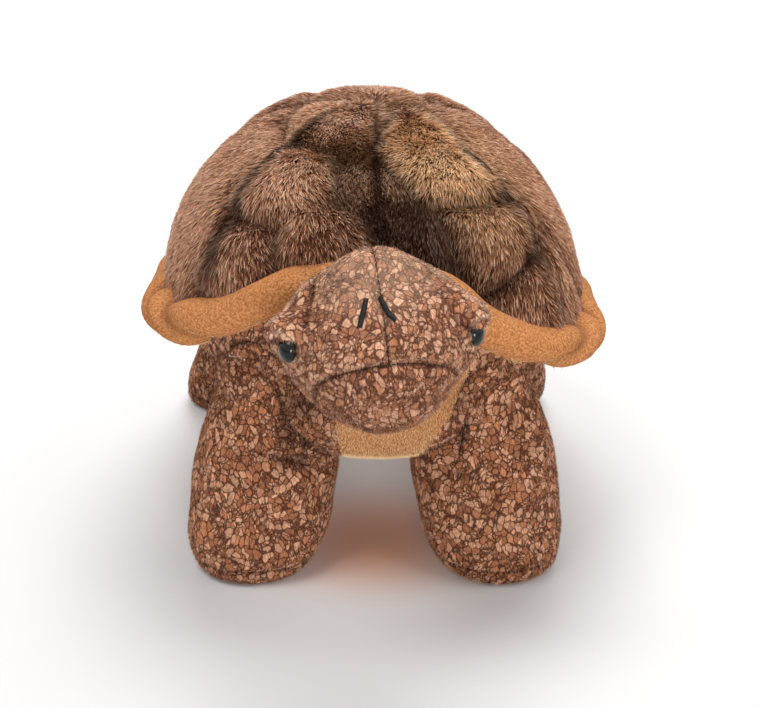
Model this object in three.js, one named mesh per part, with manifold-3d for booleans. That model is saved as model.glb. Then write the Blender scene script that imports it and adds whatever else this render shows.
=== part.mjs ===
// Stuffed tortoise: a quilted pile shell on a rolled plush rim, a plush belly, a printed head on
// a short neck and four printed legs, each a sewn cover with its stuffing inside.
// Millimetres, +Z up, the face looks along -Y. Left and right are the toy's own as seen from
// the front of the model: left is -X and right is +X.

import * as THREE from 'three';
import Module from 'manifold-3d';

const wasm = await Module();
wasm.setup();

// Cloth, seams and seats
const seamGap = 0.3;
const seatGap = 1.1;
const swingGap = 2.2;
const clothThickness = 1.6;
const pileThickness = 3.4;
const cutReach = 400;

// Shell
const shellHalfWidth = 92;
const shellTopHeight = 183.5;
const shellCentreY = 8;
const planSquareFront = 2.6;
const planSquareRear = 2.2;
const shellCrease = 7;
const shellRoundness = 2.1;
const shellLean = 2;

// Rim
const rimHalfWidth = 90;
const rimHalfLength = 108;
const rimHeight = 95.5;
const rimArchRise = 45;
const rimHalfDepth = 11;
const rimHalfHeight = 8.2;
const rimRollAngle = 4.2;
const rimRearTaper = 0.075;
const rimTaperStart = -0.6;
const rimTaperEnd = 0.1;

// Belly
const bellyHeight = 49;
const shoulderSeamHeight = 66;

// Front legs
const frontHipX = 40;
const frontHipY = -60;
const frontHipHeight = 88;
const frontFootX = 52;
const frontFootY = -68;
const frontFootHalfWidth = 30.5;
const frontFootHalfDepth = 27;
const frontHipRadius = 25;

// Hind legs
const hindHipX = 44;
const hindHipY = 66;
const hindHipHeight = 76;
const hindFootLeftX = 73;
const hindFootRightX = 62;
const hindFootY = 96;
const hindFootHalfWidth = 28;
const hindFootHalfDepth = 27;
const hindHipRadius = 17;

// Soles
const soleHeight = 8;
const legSwing = 12;

// Neck, a sleeve with a ball end at the body and one at the head
const neckRootY = -94;
const neckRootHeight = 105;
const neckRootRadius = 20;
const neckTipX = 0.5;
const neckTipY = -129;
const neckTipHeight = 127;
const neckTipRadius = 16;
const neckWaistRadius = 15;

// Head
const headX = 1.3;
const headY = -144.5;
const headHeight = 135.5;
const headHalfWidth = 34;
const headHalfLength = 30.5;
const headHalfHeight = 30.7;
const headRoundness = 2.04;
const headYaw = 7;
const headRoll = -3.5;
const headPitch = 4;
const mouthFrontY = -30;
const mouthFrontZ = 6;
const mouthSlope = 45;

// Eyes and nostrils
const eyeRadius = 4.6;
const eyeBulge = 3.2;
const eyeFlange = 0.9;
const shankRadius = 1.6;
const shankLength = 9;
const washerRadius = 5.4;
const washerThickness = 1.3;
const washerDepth = 2.8;
const stitchRadius = 0.85;

// Tail
const tailRootY = 104;
const tailRootHeight = 76;
const tailTipY = 139;
const tailTipHeight = 60;
const tailRootRadius = 11;
const tailTipRadius = 3;

// Mesh finenesses
const shellSides = 52;
const shellRows = 12;
const innerSides = 26;
const innerRows = 5;
const rimSides = 44;
const rimFacets = 8;
const headSides = 26;
const headRows = 14;
const headInnerSides = 14;
const headInnerRows = 8;
const ballSides = 16;
const ballRows = 10;
const legSides = 16;
const legInnerSides = 10;
const legRoomSides = 12;
const neckSides = 14;
const tailSides = 10;
const stitchSides = 6;
const eyeSides = 12;

// How high the rim stands over the neck, from the middle out to each side, as shares of the
// half width and of the rise
const archLeftShares = [
  [0, 1], [0.2, 0.985], [0.31, 0.93], [0.45, 0.7], [0.59, 0.48], [0.72, 0.33], [0.84, 0.19],
  [0.95, 0.08], [1, 0],
];
const archRightShares = [
  [0, 1], [0.2, 0.985], [0.31, 0.92], [0.45, 0.64], [0.59, 0.47], [0.73, 0.33], [0.86, 0.22],
  [0.95, 0.12], [1, 0],
];

// Scutes, each a cushion between stitched lines: plan angle, climb, how proud it stands, and the
// number of the cushion, as a long cushion has several places
const scutePlaces = [
  [-115, 48, 1, 1], [-103, 23, 0.85, 2], [-128, 20, 0.8, 3], [-113, 69, 0.85, 4], [-66, 56, 1, 5],
  [-57, 31, 0.9, 6], [-43, 15, 0.8, 7], [-79, 29, 0.12, 8], [-93, 50, 0.3, 9],
  [-150, 24, 0.7, 10], [-163, 54, 0.7, 10], [178, 28, 0.7, 10], [175, 56, 0.7, 10], [-150, 6, 0.7, 10],
  [-7, 32, 0.7, 11], [8, 57, 0.7, 11], [14, 10, 0.7, 11], [18, 34, 0.7, 11], [-16, 62, 0.7, 11],
  [148, 26, 0.8, 12], [138, 54, 0.8, 13], [115, 28, 0.9, 14], [90, 50, 1, 15], [65, 28, 0.9, 16],
  [42, 54, 0.8, 17], [40, 26, 0.8, 18], [100, 78, 0.8, 19], [90, 12, 0.6, 20],
];
const scuteEdgeShare = 0.3;
const scuteRoundness = 2.5;

// Belly outline from the bottom up to the rim: height share, then the shares of the rim's half
// width and half length
const bellyShares = [
  [0, 0.4, 0.56], [0.03, 0.5, 0.72], [0.12, 0.57, 0.86], [0.3, 0.64, 0.94], [0.55, 0.74, 0.97],
  [0.8, 0.88, 0.98], [1, 0.97, 0.97],
];

// Leg outline from the floor up to the hip: height share and girth share
const legShares = [
  [0, 0.62], [0.022, 0.76], [0.09, 0.88], [0.22, 0.96], [0.48, 1], [0.68, 0.95], [0.84, 0.85],
];

// Swells and hollows of the head: direction across, fore and up, spread and rise
const headSwellShares = [
  [0.93, -0.155, 0.26, 0.205, 0.19],
  [-0.93, -0.155, 0.26, 0.205, 0.19],
  [0.9, -0.38, 0.14, 0.2, -0.05],
  [-0.9, -0.38, 0.14, 0.2, -0.05],
  [0.95, -0.25, -0.1, 0.25, 0.04],
  [-0.95, -0.25, -0.1, 0.25, 0.04],
  [0.68, -0.05, 0.834, 0.22, -0.066],
  [-0.68, -0.05, 0.834, 0.22, -0.066],
  [0.8, -0.45, -0.42, 0.35, -0.09],
  [-0.8, -0.45, -0.42, 0.35, -0.09],
  [0, -0.98, 0.15, 0.4, 0.05],
  [0, 0.036, 1, 0.5, 0.174],
  [0, -0.6, -0.8, 0.45, 0.048],
  [0, 0.85, 0.6, 0.6, -0.12],
];
const eyeLeftShares = [-0.925, -0.32, 0.2];
const eyeRightShares = [0.94, -0.31, 0.155];
const nostrilLeftShares = [[-0.16, -0.54, 0.825], [-0.22, -0.66, 0.715], [-0.28, -0.76, 0.59]];
const nostrilRightShares = [[-0.02, -0.54, 0.84], [0.045, -0.69, 0.72], [0.13, -0.755, 0.645]];
const neckPointCount = 11;
const eyeClimbs = [0, 35, 65, 88];
const panelAngles = [-137, -88, -43, 50, 130, 223];
const panelNames = ['front_left', 'front_right', 'right', 'rear', 'left'];
const sideNames = ['left', 'right'];
const neckMouthShare = 0.6;
const shellFootAngle = 3;
const shoulderAngles = [[-163, -105], [-71, -17]];
const hipClimbs = [-20, 5, 30];

// Colours and finishes
const looks = {
  pile: [0x63402a, 0.95],
  plush: [0xc98a48, 0.9],
  print: [0x8c5a45, 0.85],
  printDark: [0x7a4836, 0.85],
  glass: [0x15171c, 0.12],
  thread: [0x191310, 0.7],
  washer: [0xe8e6e0, 0.5],
  stuffing: [0xf1eee6, 1],
};

const radians = THREE.MathUtils.degToRad;

function vector(x, y, z) {
  return new THREE.Vector3(x, y, z);
}

// Plan direction of an angle in degrees
function heading(angle) {
  return [Math.cos(radians(angle)), Math.sin(radians(angle))];
}

// Signed power, for rounded squares
function power(value, exponent) {
  return Math.sign(value) * Math.abs(value) ** exponent;
}

// Reads a table of pairs with eased steps between its rows
function readTable(table, at) {
  const last = table[table.length - 1];
  if (at >= last[0]) return last[1];
  let row = 0;
  while (at > table[row + 1][0]) row += 1;
  const [from, low] = table[row];
  const [to, high] = table[row + 1];
  return THREE.MathUtils.lerp(low, high, (at - from) / (to - from));
}

// Closed solid from points and faces, turned so that it faces out
function solidFrom(points, faces) {
  let volume = 0;
  const pivot = points[0];
  for (let i = 0; i < faces.length; i += 3) {
    const [a, b, c] = [0, 1, 2].map((k) => points[faces[i + k]].clone().sub(pivot));
    volume += a.dot(b.cross(c));
  }
  const order = volume > 0 ? faces : faces.slice().reverse();
  const vertProperties = new Float32Array(points.flatMap((p) => [p.x, p.y, p.z]));
  return new wasm.Manifold(new wasm.Mesh({ numProp: 3, vertProperties, triVerts: new Uint32Array(order) }));
}

// Middle of a ring of points
function middle(ring) {
  const sum = ring.reduce((total, p) => total.add(p), vector(0, 0, 0));
  return sum.divideScalar(ring.length);
}

// Skin over rings of equal count: round again to the first ring, or closed by a fan at each end
function loft(rings, tips = [], endless = false) {
  const points = rings.flat();
  const count = rings[0].length;
  const faces = [];
  const spans = endless ? rings.length : rings.length - 1;
  for (let i = 0; i < spans; i += 1) {
    for (let j = 0; j < count; j += 1) {
      const next = (j + 1) % count;
      const above = ((i + 1) % rings.length) * count;
      faces.push(i * count + j, i * count + next, above + next);
      faces.push(i * count + j, above + next, above + j);
    }
  }
  if (!endless) {
    const top = (rings.length - 1) * count;
    points.push(tips[0] ?? middle(rings[0]), tips[1] ?? middle(rings[rings.length - 1]));
    for (let j = 0; j < count; j += 1) {
      const next = (j + 1) % count;
      faces.push(points.length - 2, next, j);
      faces.push(points.length - 1, top + j, top + next);
    }
  }
  return solidFrom(points, faces);
}

// Ball with level rows of facets
function ball(centre, radius) {
  const rings = [];
  for (let i = 1; i < ballRows; i += 1) {
    const climb = Math.PI * (i / ballRows) - Math.PI / 2;
    const ring = [];
    for (let j = 0; j < ballSides; j += 1) {
      const [c, s] = heading((360 * j) / ballSides);
      const reach = radius * Math.cos(climb);
      ring.push(vector(reach * c, reach * s, radius * Math.sin(climb)).add(centre));
    }
    rings.push(ring);
  }
  const pole = vector(0, 0, radius);
  return loft(rings, [centre.clone().sub(pole), centre.clone().add(pole)]);
}

// Round rod through a row of points with a radius at each
function rod(points, radii, sides) {
  const rings = points.map((point, i) => {
    const ahead = points[Math.min(i + 1, points.length - 1)];
    const along = ahead.clone().sub(points[Math.max(i - 1, 0)]).normalize();
    const helper = Math.abs(along.x) < Math.SQRT1_2 ? vector(1, 0, 0) : vector(0, 0, 1);
    const side = helper.cross(along).normalize();
    const other = along.clone().cross(side);
    const ring = [];
    for (let j = 0; j < sides; j += 1) {
      const [c, s] = heading((360 * j) / sides);
      const out = side.clone().multiplyScalar(c * radii[i]);
      ring.push(out.addScaledVector(other, s * radii[i]).add(point));
    }
    return ring;
  });
  return loft(rings);
}

// Box between two corners, placed by a matrix
function slab(low, high, placing = new THREE.Matrix4()) {
  const level = (z) => [[low.x, low.y], [high.x, low.y], [high.x, high.y], [low.x, high.y]]
    .map(([x, y]) => vector(x, y, z).applyMatrix4(placing));
  return loft([level(low.z), level(high.z)]);
}

function below(height) {
  return slab(vector(-cutReach, -cutReach, -cutReach), vector(cutReach, cutReach, height));
}

function above(height) {
  return slab(vector(-cutReach, -cutReach, height), vector(cutReach, cutReach, cutReach));
}

// Height of the middle of the rim at a place in plan
function rimLevel(x, front) {
  const tilt = -Math.tan(radians(rimRollAngle)) * x;
  const shares = x < 0 ? archLeftShares : archRightShares;
  const rise = front ? rimArchRise * readTable(shares, Math.min(1, Math.abs(x) / rimHalfWidth)) : 0;
  return rimHeight + tilt + rise;
}

// Middle line of the rim at a plan angle in degrees, drawn in a little towards the rear
function rimCentre(angle, taper = rimRearTaper) {
  const [c, s] = heading(angle);
  const square = s < 0 ? planSquareFront : planSquareRear;
  const reach = (Math.abs(c) ** square + Math.abs(s) ** square) ** (-1 / square);
  const drawn = taper * THREE.MathUtils.smoothstep(s, rimTaperStart, rimTaperEnd);
  const x = rimHalfWidth * c * reach * (1 - drawn);
  return vector(x, shellCentreY + rimHalfLength * s * reach, rimLevel(x, s < 0));
}

// Rolled tube along the rim, pulled in by an inset, its inner half stretched to open its mouth
function rimTube(inset, inwardReach = 0) {
  const rings = [];
  for (let i = 0; i < rimSides; i += 1) {
    const angle = (360 * i) / rimSides;
    const step = 180 / rimSides;
    const centre = rimCentre(angle);
    const along = rimCentre(angle + step).sub(rimCentre(angle - step)).normalize();
    const out = vector(along.y, -along.x, 0).normalize();
    const up = out.clone().cross(along).normalize();
    if (up.z < 0) up.negate();
    const ring = [];
    for (let j = 0; j < rimFacets; j += 1) {
      const [c, s] = heading((360 * j) / rimFacets);
      const depth = rimHalfDepth - inset + (c < 0 ? inwardReach : 0);
      const point = centre.clone().addScaledVector(out, depth * c);
      ring.push(point.addScaledVector(up, (rimHalfHeight - inset) * s));
    }
    rings.push(ring);
  }
  return loft(rings, [], true);
}

// How deep the shell is creased at a direction: nothing in a scute, full on the seam lines
function creaseAt(direction) {
  const near = scutePlaces.map(([angle, climb, proud, cushion]) => {
    const [c, s] = heading(angle);
    const level = Math.cos(radians(climb));
    const aim = vector(c * level, s * level, Math.sin(radians(climb)));
    return [direction.distanceTo(aim), proud, cushion];
  }).sort((a, b) => a[0] - b[0]);
  const other = near.find((place) => place[2] !== near[0][2]);
  const share = Math.min(1, (other[0] - near[0][0]) / scuteEdgeShare);
  const puff = 1 - (1 - share) ** scuteRoundness;
  return 1 - puff * near[0][1];
}

// Point on the shell at a plan angle and climb in degrees: the rim's plan, drawn in on the way up
function shellPoint(angle, climb, inset, creased) {
  const rim = rimCentre(angle);
  const outer = rimCentre(angle, 0);
  const plan = vector(outer.x, outer.y - shellCentreY, 0).multiplyScalar(shellHalfWidth / rimHalfWidth);
  const [wide, high] = heading(climb);
  const sum = Math.abs(wide) ** shellRoundness + Math.abs(high) ** shellRoundness;
  const stretch = sum ** (-1 / shellRoundness);
  const rise = shellTopHeight - rim.z;
  const lean = shellRoundness - 1;
  const out = plan.clone().setLength(power(wide * stretch, lean) / plan.length());
  out.z = power(high * stretch, lean) / rise;
  out.normalize();
  const point = plan.clone().multiplyScalar(wide * stretch);
  point.add(vector(-shellLean * high * stretch, shellCentreY, rim.z + rise * high * stretch));
  const fade = THREE.MathUtils.smoothstep(climb, shellFootAngle, 4 * shellFootAngle);
  const [c, s] = heading(angle);
  const crease = creased ? creaseAt(vector(c * wide, s * wide, high)) : 1;
  return point.addScaledVector(out, -shellCrease * fade * crease - inset);
}

// Shell as a solid dome, from just under the rim line up to its crown, with a skirt below
function shellDome(inset, creased, skirt, sides, rows) {
  const rings = [];
  for (let i = 0; i < rows; i += 1) {
    const climb = -shellFootAngle + ((90 + shellFootAngle) * i) / rows;
    const ring = [];
    for (let j = 0; j < sides; j += 1) {
      ring.push(shellPoint((360 * j) / sides, climb, inset, creased));
    }
    rings.push(ring);
  }
  if (skirt > 0) rings.unshift(rings[0].map((p) => vector(p.x, p.y, p.z - skirt)));
  return loft(rings, [undefined, shellPoint(-90, 90, inset, creased)]);
}

// Upright wedge between two plan angles, held off its seams by half a gap, or past them if it is negative
function wedge(from, to, gap = seamGap) {
  const half = (to - from) / 2;
  const [mc, ms] = heading(from + half);
  const shift = gap / 2 / Math.sin(radians(half));
  const tip = vector(mc * shift, shellCentreY + ms * shift, 0);
  const outline = [0, half, 2 * half].map((turn) => {
    const [c, s] = heading(from + turn);
    return vector(c * cutReach, s * cutReach, 0).add(tip);
  });
  outline.unshift(tip);
  const raised = (z) => outline.map((p) => vector(p.x, p.y, z));
  return loft([raised(0), raised(cutReach)]);
}

// Belly as a solid bowl that follows the rim at its upper edge, with a collar above
function bellyBowl(inset, collar, sides) {
  const rings = bellyShares.map(([up, wide, long]) => {
    const ring = [];
    for (let j = 0; j < sides; j += 1) {
      const angle = (360 * j) / sides;
      const rim = rimCentre(angle);
      const out = vector(rim.x * wide, (rim.y - shellCentreY) * long, 0);
      const reach = out.length() - inset;
      const foot = bellyHeight + inset;
      const z = foot + (rim.z - foot) * up;
      ring.push(out.setLength(reach).add(vector(0, shellCentreY, z)));
    }
    return ring;
  });
  if (collar > 0) rings.push(rings[rings.length - 1].map((p) => vector(p.x, p.y, p.z + collar)));
  return loft(rings);
}

// Sizes of the four legs
const legs = [
  ['front_left', -1, frontHipX, frontHipY, frontHipHeight, frontFootX, frontFootY, 'front'],
  ['front_right', 1, frontHipX, frontHipY, frontHipHeight, frontFootX, frontFootY, 'front'],
  ['hind_left', -1, hindHipX, hindHipY, hindHipHeight, hindFootLeftX, hindFootY, 'hind'],
  ['hind_right', 1, hindHipX, hindHipY, hindHipHeight, hindFootRightX, hindFootY, 'hind'],
].map(([name, side, hipX, hipY, hipHeight, footX, footY, kind]) => ({
  name,
  hip: vector(side * hipX, hipY, hipHeight),
  foot: vector(side * footX, footY, 0),
  halfWidth: kind === 'front' ? frontFootHalfWidth : hindFootHalfWidth,
  halfDepth: kind === 'front' ? frontFootHalfDepth : hindFootHalfDepth,
  radius: kind === 'front' ? frontHipRadius : hindHipRadius,
}));

// Middle of a leg at a height: from the foot it leans in until it is under the hip
function legCentre(leg, z) {
  const shoulder = leg.hip.z + leg.radius * Math.sin(radians(hipClimbs[0]));
  return leg.foot.clone().lerp(leg.hip, Math.min(1, z / shoulder));
}

// Level rings of a leg: the table from the flat foot up, then the ball that sits in the hip
function legSolid(leg, inset, sides, overrun) {
  const levels = legShares.map(([up, girth]) => [
    up * leg.hip.z, leg.halfWidth * girth, leg.halfDepth * girth,
  ]);
  levels[0][0] = Math.max(0, inset);
  for (const climb of hipClimbs) {
    const reach = leg.radius * Math.cos(radians(climb));
    levels.push([leg.hip.z + leg.radius * Math.sin(radians(climb)), reach, reach]);
  }
  levels[levels.length - 1][0] += overrun;
  const rings = levels.filter(([z], i) => i === 0 || z > levels[0][0]).map(([z, width, depth]) => {
    const centre = legCentre(leg, z);
    const ring = [];
    for (let j = 0; j < sides; j += 1) {
      const [c, s] = heading((360 * j) / sides);
      ring.push(vector(centre.x + (width - inset) * c, centre.y + (depth - inset) * s, z));
    }
    return ring;
  });
  return loft(rings);
}

// Room that a leg sweeps in the body over its whole swing, wider the farther from the hip
function legRoom(leg) {
  const rings = [0, 0.25, 0.5, 0.75, 1].map((share) => {
    const z = THREE.MathUtils.lerp(bellyHeight - leg.radius, leg.hip.z, share);
    const centre = legCentre(leg, z);
    const lift = (leg.halfDepth + Math.abs(centre.y - leg.hip.y)) * Math.sin(radians(legSwing));
    const girth = readTable(legShares, (z - lift) / leg.hip.z);
    const swept = (leg.hip.z - z + lift) * Math.tan(radians(legSwing));
    const ring = [];
    for (let j = 0; j < legRoomSides; j += 1) {
      const [c, s] = heading((360 * j) / legRoomSides);
      const x = centre.x + (leg.halfWidth * girth + 2 * swingGap) * c;
      ring.push(vector(x, centre.y + (leg.halfDepth * girth + swept + 2 * swingGap) * s, z));
    }
    return ring;
  });
  return loft(rings).add(ball(leg.hip, leg.radius + seatGap));
}

const neckRoot = vector(0, neckRootY, neckRootHeight);
const neckTip = vector(neckTipX, neckTipY, neckTipHeight);

// Neck sleeve as a rod that swells to a ball at each end
function neckSolid(inset, overrun) {
  const run = neckTip.clone().sub(neckRoot);
  const span = run.length();
  const points = [];
  const radii = [];
  const start = -neckRootRadius * neckMouthShare;
  const end = span + neckTipRadius * neckMouthShare;
  for (let i = 0; i < neckPointCount; i += 1) {
    const at = THREE.MathUtils.lerp(start, end, i / (neckPointCount - 1));
    const rootBall = Math.sqrt(Math.max(0, neckRootRadius ** 2 - at ** 2));
    const tipBall = Math.sqrt(Math.max(0, neckTipRadius ** 2 - (at - span) ** 2));
    const between = at > 0 && at < span ? neckWaistRadius : 0;
    points.push(neckRoot.clone().addScaledVector(run, at / span));
    radii.push(Math.max(rootBall, tipBall, between) - inset);
  }
  points[0].addScaledVector(run, -overrun / span);
  points[neckPointCount - 1].addScaledVector(run, overrun / span);
  return rod(points, radii, neckSides);
}

const headPlacing = new THREE.Matrix4().makeRotationFromEuler(
  new THREE.Euler(radians(headPitch), radians(headRoll), radians(headYaw), 'ZYX'),
).setPosition(headX, headY, headHeight);

// Point on the head in a direction from its middle
function headPoint(direction, inset) {
  const way = direction.clone().normalize();
  const size = vector(headHalfWidth, headHalfLength, headHalfHeight);
  const scaled = way.clone().divide(size);
  const sum = Math.abs(scaled.x) ** headRoundness + Math.abs(scaled.y) ** headRoundness
    + Math.abs(scaled.z) ** headRoundness;
  let swell = 1;
  for (const [across, fore, up, spread, rise] of headSwellShares) {
    const off = way.distanceTo(vector(across, fore, up).normalize()) / spread;
    swell += rise * Math.exp(-off * off);
  }
  return way.multiplyScalar(sum ** (-1 / headRoundness) * swell - inset).applyMatrix4(headPlacing);
}

// Head as a solid, its rows running from the nose to the nape
function headSolid(inset, sides, rows) {
  const rings = [];
  for (let i = 1; i < rows; i += 1) {
    const climb = Math.PI * (i / rows) - Math.PI / 2;
    const ring = [];
    for (let j = 0; j < sides; j += 1) {
      const [c, s] = heading((360 * j) / sides);
      const level = Math.cos(climb);
      ring.push(headPoint(vector(c * level, Math.sin(climb), s * level), inset));
    }
    rings.push(ring);
  }
  return loft(rings, [headPoint(vector(0, -1, 0), inset), headPoint(vector(0, 1, 0), inset)]);
}

// Room for the neck in the back of the head: the ball seat and a mouth that widens backward
function neckRoom() {
  const back = neckRoot.clone().sub(neckTip).normalize();
  const far = neckTip.clone().addScaledVector(back, 2 * neckTipRadius);
  const mouth = rod([neckTip, far], [neckWaistRadius, 2 * neckTipRadius + neckWaistRadius], neckSides);
  return ball(neckTip, neckTipRadius + seatGap).add(mouth);
}

// Turned solid about an axis that starts on the head's skin and looks outward
function onHead(side, profile) {
  const way = vector(...(side < 0 ? eyeLeftShares : eyeRightShares));
  const seat = headPoint(way, 0);
  const out = seat.clone().sub(headPoint(way, seatGap)).normalize();
  const turn = new THREE.Quaternion().setFromUnitVectors(vector(0, 1, 0), out);
  const rings = profile.map(([radius, height]) => {
    const ring = [];
    for (let j = 0; j < eyeSides; j += 1) {
      const [c, s] = heading((360 * j) / eyeSides);
      ring.push(vector(radius * c, height, radius * s).applyQuaternion(turn).add(seat));
    }
    return ring;
  });
  return loft(rings);
}

// Eye: a domed cap on a flange with a shank through the cloth
function eyeSolid(side, grow) {
  const cap = [];
  for (const climb of eyeClimbs) {
    const [c, s] = heading(climb);
    cap.push([(eyeRadius + grow) * c, (eyeBulge + grow) * s]);
  }
  const profile = [
    [shankRadius + grow, -shankLength - grow],
    [shankRadius + grow, -eyeFlange - grow],
    [eyeRadius + grow, -eyeFlange - grow],
    ...cap,
  ];
  return onHead(side, profile);
}

// Washer behind the cloth, with a hole for the shank
function washerSolid(side, grow) {
  const inner = -washerDepth - clothThickness - washerThickness;
  const disc = onHead(side, [
    [washerRadius + grow, inner - grow],
    [washerRadius + grow, inner + washerThickness + grow],
  ]);
  return disc;
}

function headWays(shares) {
  return shares.map(([x, y, z]) => vector(x, y, z));
}

// Nostril: a stitched bar that lies half sunk along the skin
function nostril(shares, grow) {
  const ways = headWays(shares);
  const points = [0, 0.25, 0.5, 0.75, 1].map((share) => {
    const from = share < 0.5 ? 0 : 1;
    const way = ways[from].clone().lerp(ways[from + 1], 2 * share - from);
    return headPoint(way, 0);
  });
  const radii = points.map(() => stitchRadius + grow);
  const run = points[4].clone().sub(points[0]).normalize();
  points[0].addScaledVector(run, -grow);
  points[4].addScaledVector(run, grow);
  return rod(points, radii, stitchSides);
}

// Parts of the head below and above the mouth seam, and left and right of the middle seam
function headSide(lift) {
  const plane = new THREE.Matrix4().makeRotationX(radians(-mouthSlope));
  plane.setPosition(0, mouthFrontY, mouthFrontZ);
  const placing = headPlacing.clone().multiply(plane);
  if (lift < 0) {
    return slab(vector(-cutReach, -cutReach, -cutReach), vector(cutReach, cutReach, -seamGap / 2), placing);
  }
  return slab(vector(-cutReach, -cutReach, seamGap / 2), vector(cutReach, cutReach, cutReach), placing);
}

function headHalf(side) {
  const low = vector(side < 0 ? -cutReach : seamGap / 2, -cutReach, -cutReach);
  const high = vector(side < 0 ? -seamGap / 2 : cutReach, cutReach, cutReach);
  return slab(low, high, headPlacing);
}

// Tail: a short tapered cone that hangs from the back of the belly
function tailSolid(inset, rootRun) {
  const root = vector(0, tailRootY, tailRootHeight);
  const tip = vector(0, tailTipY, tailTipHeight);
  const run = tip.clone().sub(root).normalize();
  root.addScaledVector(run, -rootRun);
  const points = [0, 0.35, 0.7, 0.9, 1].map((share) => root.clone().lerp(tip, share));
  points[4].addScaledVector(run, -Math.max(0, inset));
  const girthShares = [1, 0.92, 0.62, 0.32, 0];
  const girths = girthShares.map((share) => THREE.MathUtils.lerp(tailTipRadius, tailRootRadius, share));
  const radii = girths.map((girth) => girth - inset);
  return rod(points, radii, tailSides);
}

const group = new THREE.Group();
group.name = 'plush_tortoise';

// Adds a piece without the crumbs that a cut can leave beside it
function addPart(name, manifold, look) {
  const [whole] = manifold.decompose().sort((a, b) => b.volume() - a.volume());
  const mesh = whole.getMesh();
  const geometry = new THREE.BufferGeometry();
  geometry.setAttribute('position', new THREE.BufferAttribute(new Float32Array(mesh.vertProperties), 3));
  geometry.setIndex(new THREE.BufferAttribute(new Uint32Array(mesh.triVerts), 1));
  geometry.computeVertexNormals();
  const [color, roughness] = looks[look];
  const part = new THREE.Mesh(geometry, new THREE.MeshStandardMaterial({ color, roughness, metalness: 0 }));
  part.name = name;
  group.add(part);
}

// Rooms in the body for the joined pieces
const rimRoom = rimTube(-seamGap);
const tailRoom = tailSolid(-seamGap, seamGap);
let limbRoom = ball(neckRoot, neckRootRadius + seatGap);
for (const leg of legs) limbRoom = limbRoom.add(legRoom(leg));

// Shell panels
const shellShape = shellDome(0, true, 0, shellSides, shellRows);
const shellHollow = shellDome(pileThickness, false, rimHalfDepth, innerSides, innerRows);
const shellCover = shellShape.subtract(shellHollow).subtract(rimRoom);
panelNames.forEach((name, i) => {
  const panel = shellCover.intersect(wedge(panelAngles[i], panelAngles[i + 1]));
  addPart(`shell_${name}_panel`, panel, 'pile');
});

// Rim roll
const rimOuter = rimTube(0);
const rimHollow = rimTube(clothThickness, rimHalfDepth);
addPart('rim_cover', rimOuter.subtract(rimHollow), 'plush');
addPart('rim_stuffing', rimTube(clothThickness + seamGap), 'stuffing');

// Belly and the stuffing of the body
const bellyShape = bellyBowl(0, 0, innerSides);
const bellyHollow = bellyBowl(clothThickness, rimHalfHeight, innerSides);
const bellyWhole = bellyShape.subtract(bellyHollow).subtract(rimRoom);
let bellyCover = bellyWhole.subtract(limbRoom).subtract(tailRoom);
const bellyCloth = bellyCover;
shoulderAngles.forEach(([from, to], i) => {
  const room = wedge(from, to, -seamGap).intersect(above(shoulderSeamHeight - seamGap / 2));
  const piece = wedge(from, to).intersect(above(shoulderSeamHeight + seamGap / 2));
  bellyCover = bellyCover.subtract(room);
  addPart(`shoulder_${sideNames[i]}_cover`, bellyCloth.intersect(piece), 'print');
});
addPart('belly_cover', bellyCover, 'plush');
const shellFill = shellDome(pileThickness + seamGap, false, 0, innerSides, innerRows);
const bellyFill = bellyBowl(clothThickness + seamGap, 0, innerSides);
const bodyFill = shellFill.add(bellyFill).subtract(rimRoom);
addPart('body_stuffing', bodyFill.subtract(limbRoom).subtract(tailRoom), 'stuffing');

// Tail
const tailHollow = tailSolid(clothThickness, clothThickness);
const tailFill = tailSolid(clothThickness + seamGap, 0);
addPart('tail_cover', tailSolid(0, 0).subtract(tailHollow), 'printDark');
addPart('tail_stuffing', tailFill, 'stuffing');

// Neck
addPart('neck_cover', neckSolid(0, 0).subtract(neckSolid(clothThickness, clothThickness)), 'print');
addPart('neck_stuffing', neckSolid(clothThickness + seamGap, 0), 'stuffing');

// Head
const washers = [-1, 1].map((side) => washerSolid(side, seamGap));
const eyeRooms = [-1, 1].map((side) => eyeSolid(side, seamGap));
let headFit = neckRoom();
for (const room of [...washers, ...eyeRooms]) headFit = headFit.add(room);
const stitchRoom = nostril(nostrilLeftShares, seamGap).add(nostril(nostrilRightShares, seamGap));
const headHollow = headSolid(clothThickness, headInnerSides, headInnerRows);
const headSkin = headSolid(0, headSides, headRows).subtract(headHollow);
const headCover = headSkin.subtract(headFit).subtract(stitchRoom);
addPart('chin_panel', headCover.intersect(headSide(-1)), 'print');
addPart('head_left_panel', headCover.intersect(headSide(1)).intersect(headHalf(-1)), 'print');
addPart('head_right_panel', headCover.intersect(headSide(1)).intersect(headHalf(1)), 'print');
const headFill = headSolid(clothThickness + seamGap, headInnerSides, headInnerRows);
addPart('head_stuffing', headFill.subtract(headFit), 'stuffing');
sideNames.forEach((name, i) => {
  const side = 2 * i - 1;
  addPart(`eye_${name}`, eyeSolid(side, 0), 'glass');
  addPart(`eye_washer_${name}`, washerSolid(side, 0).subtract(eyeSolid(side, seamGap)), 'washer');
});
addPart('nostril_stitch_left', nostril(nostrilLeftShares, 0), 'thread');
addPart('nostril_stitch_right', nostril(nostrilRightShares, 0), 'thread');

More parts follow.
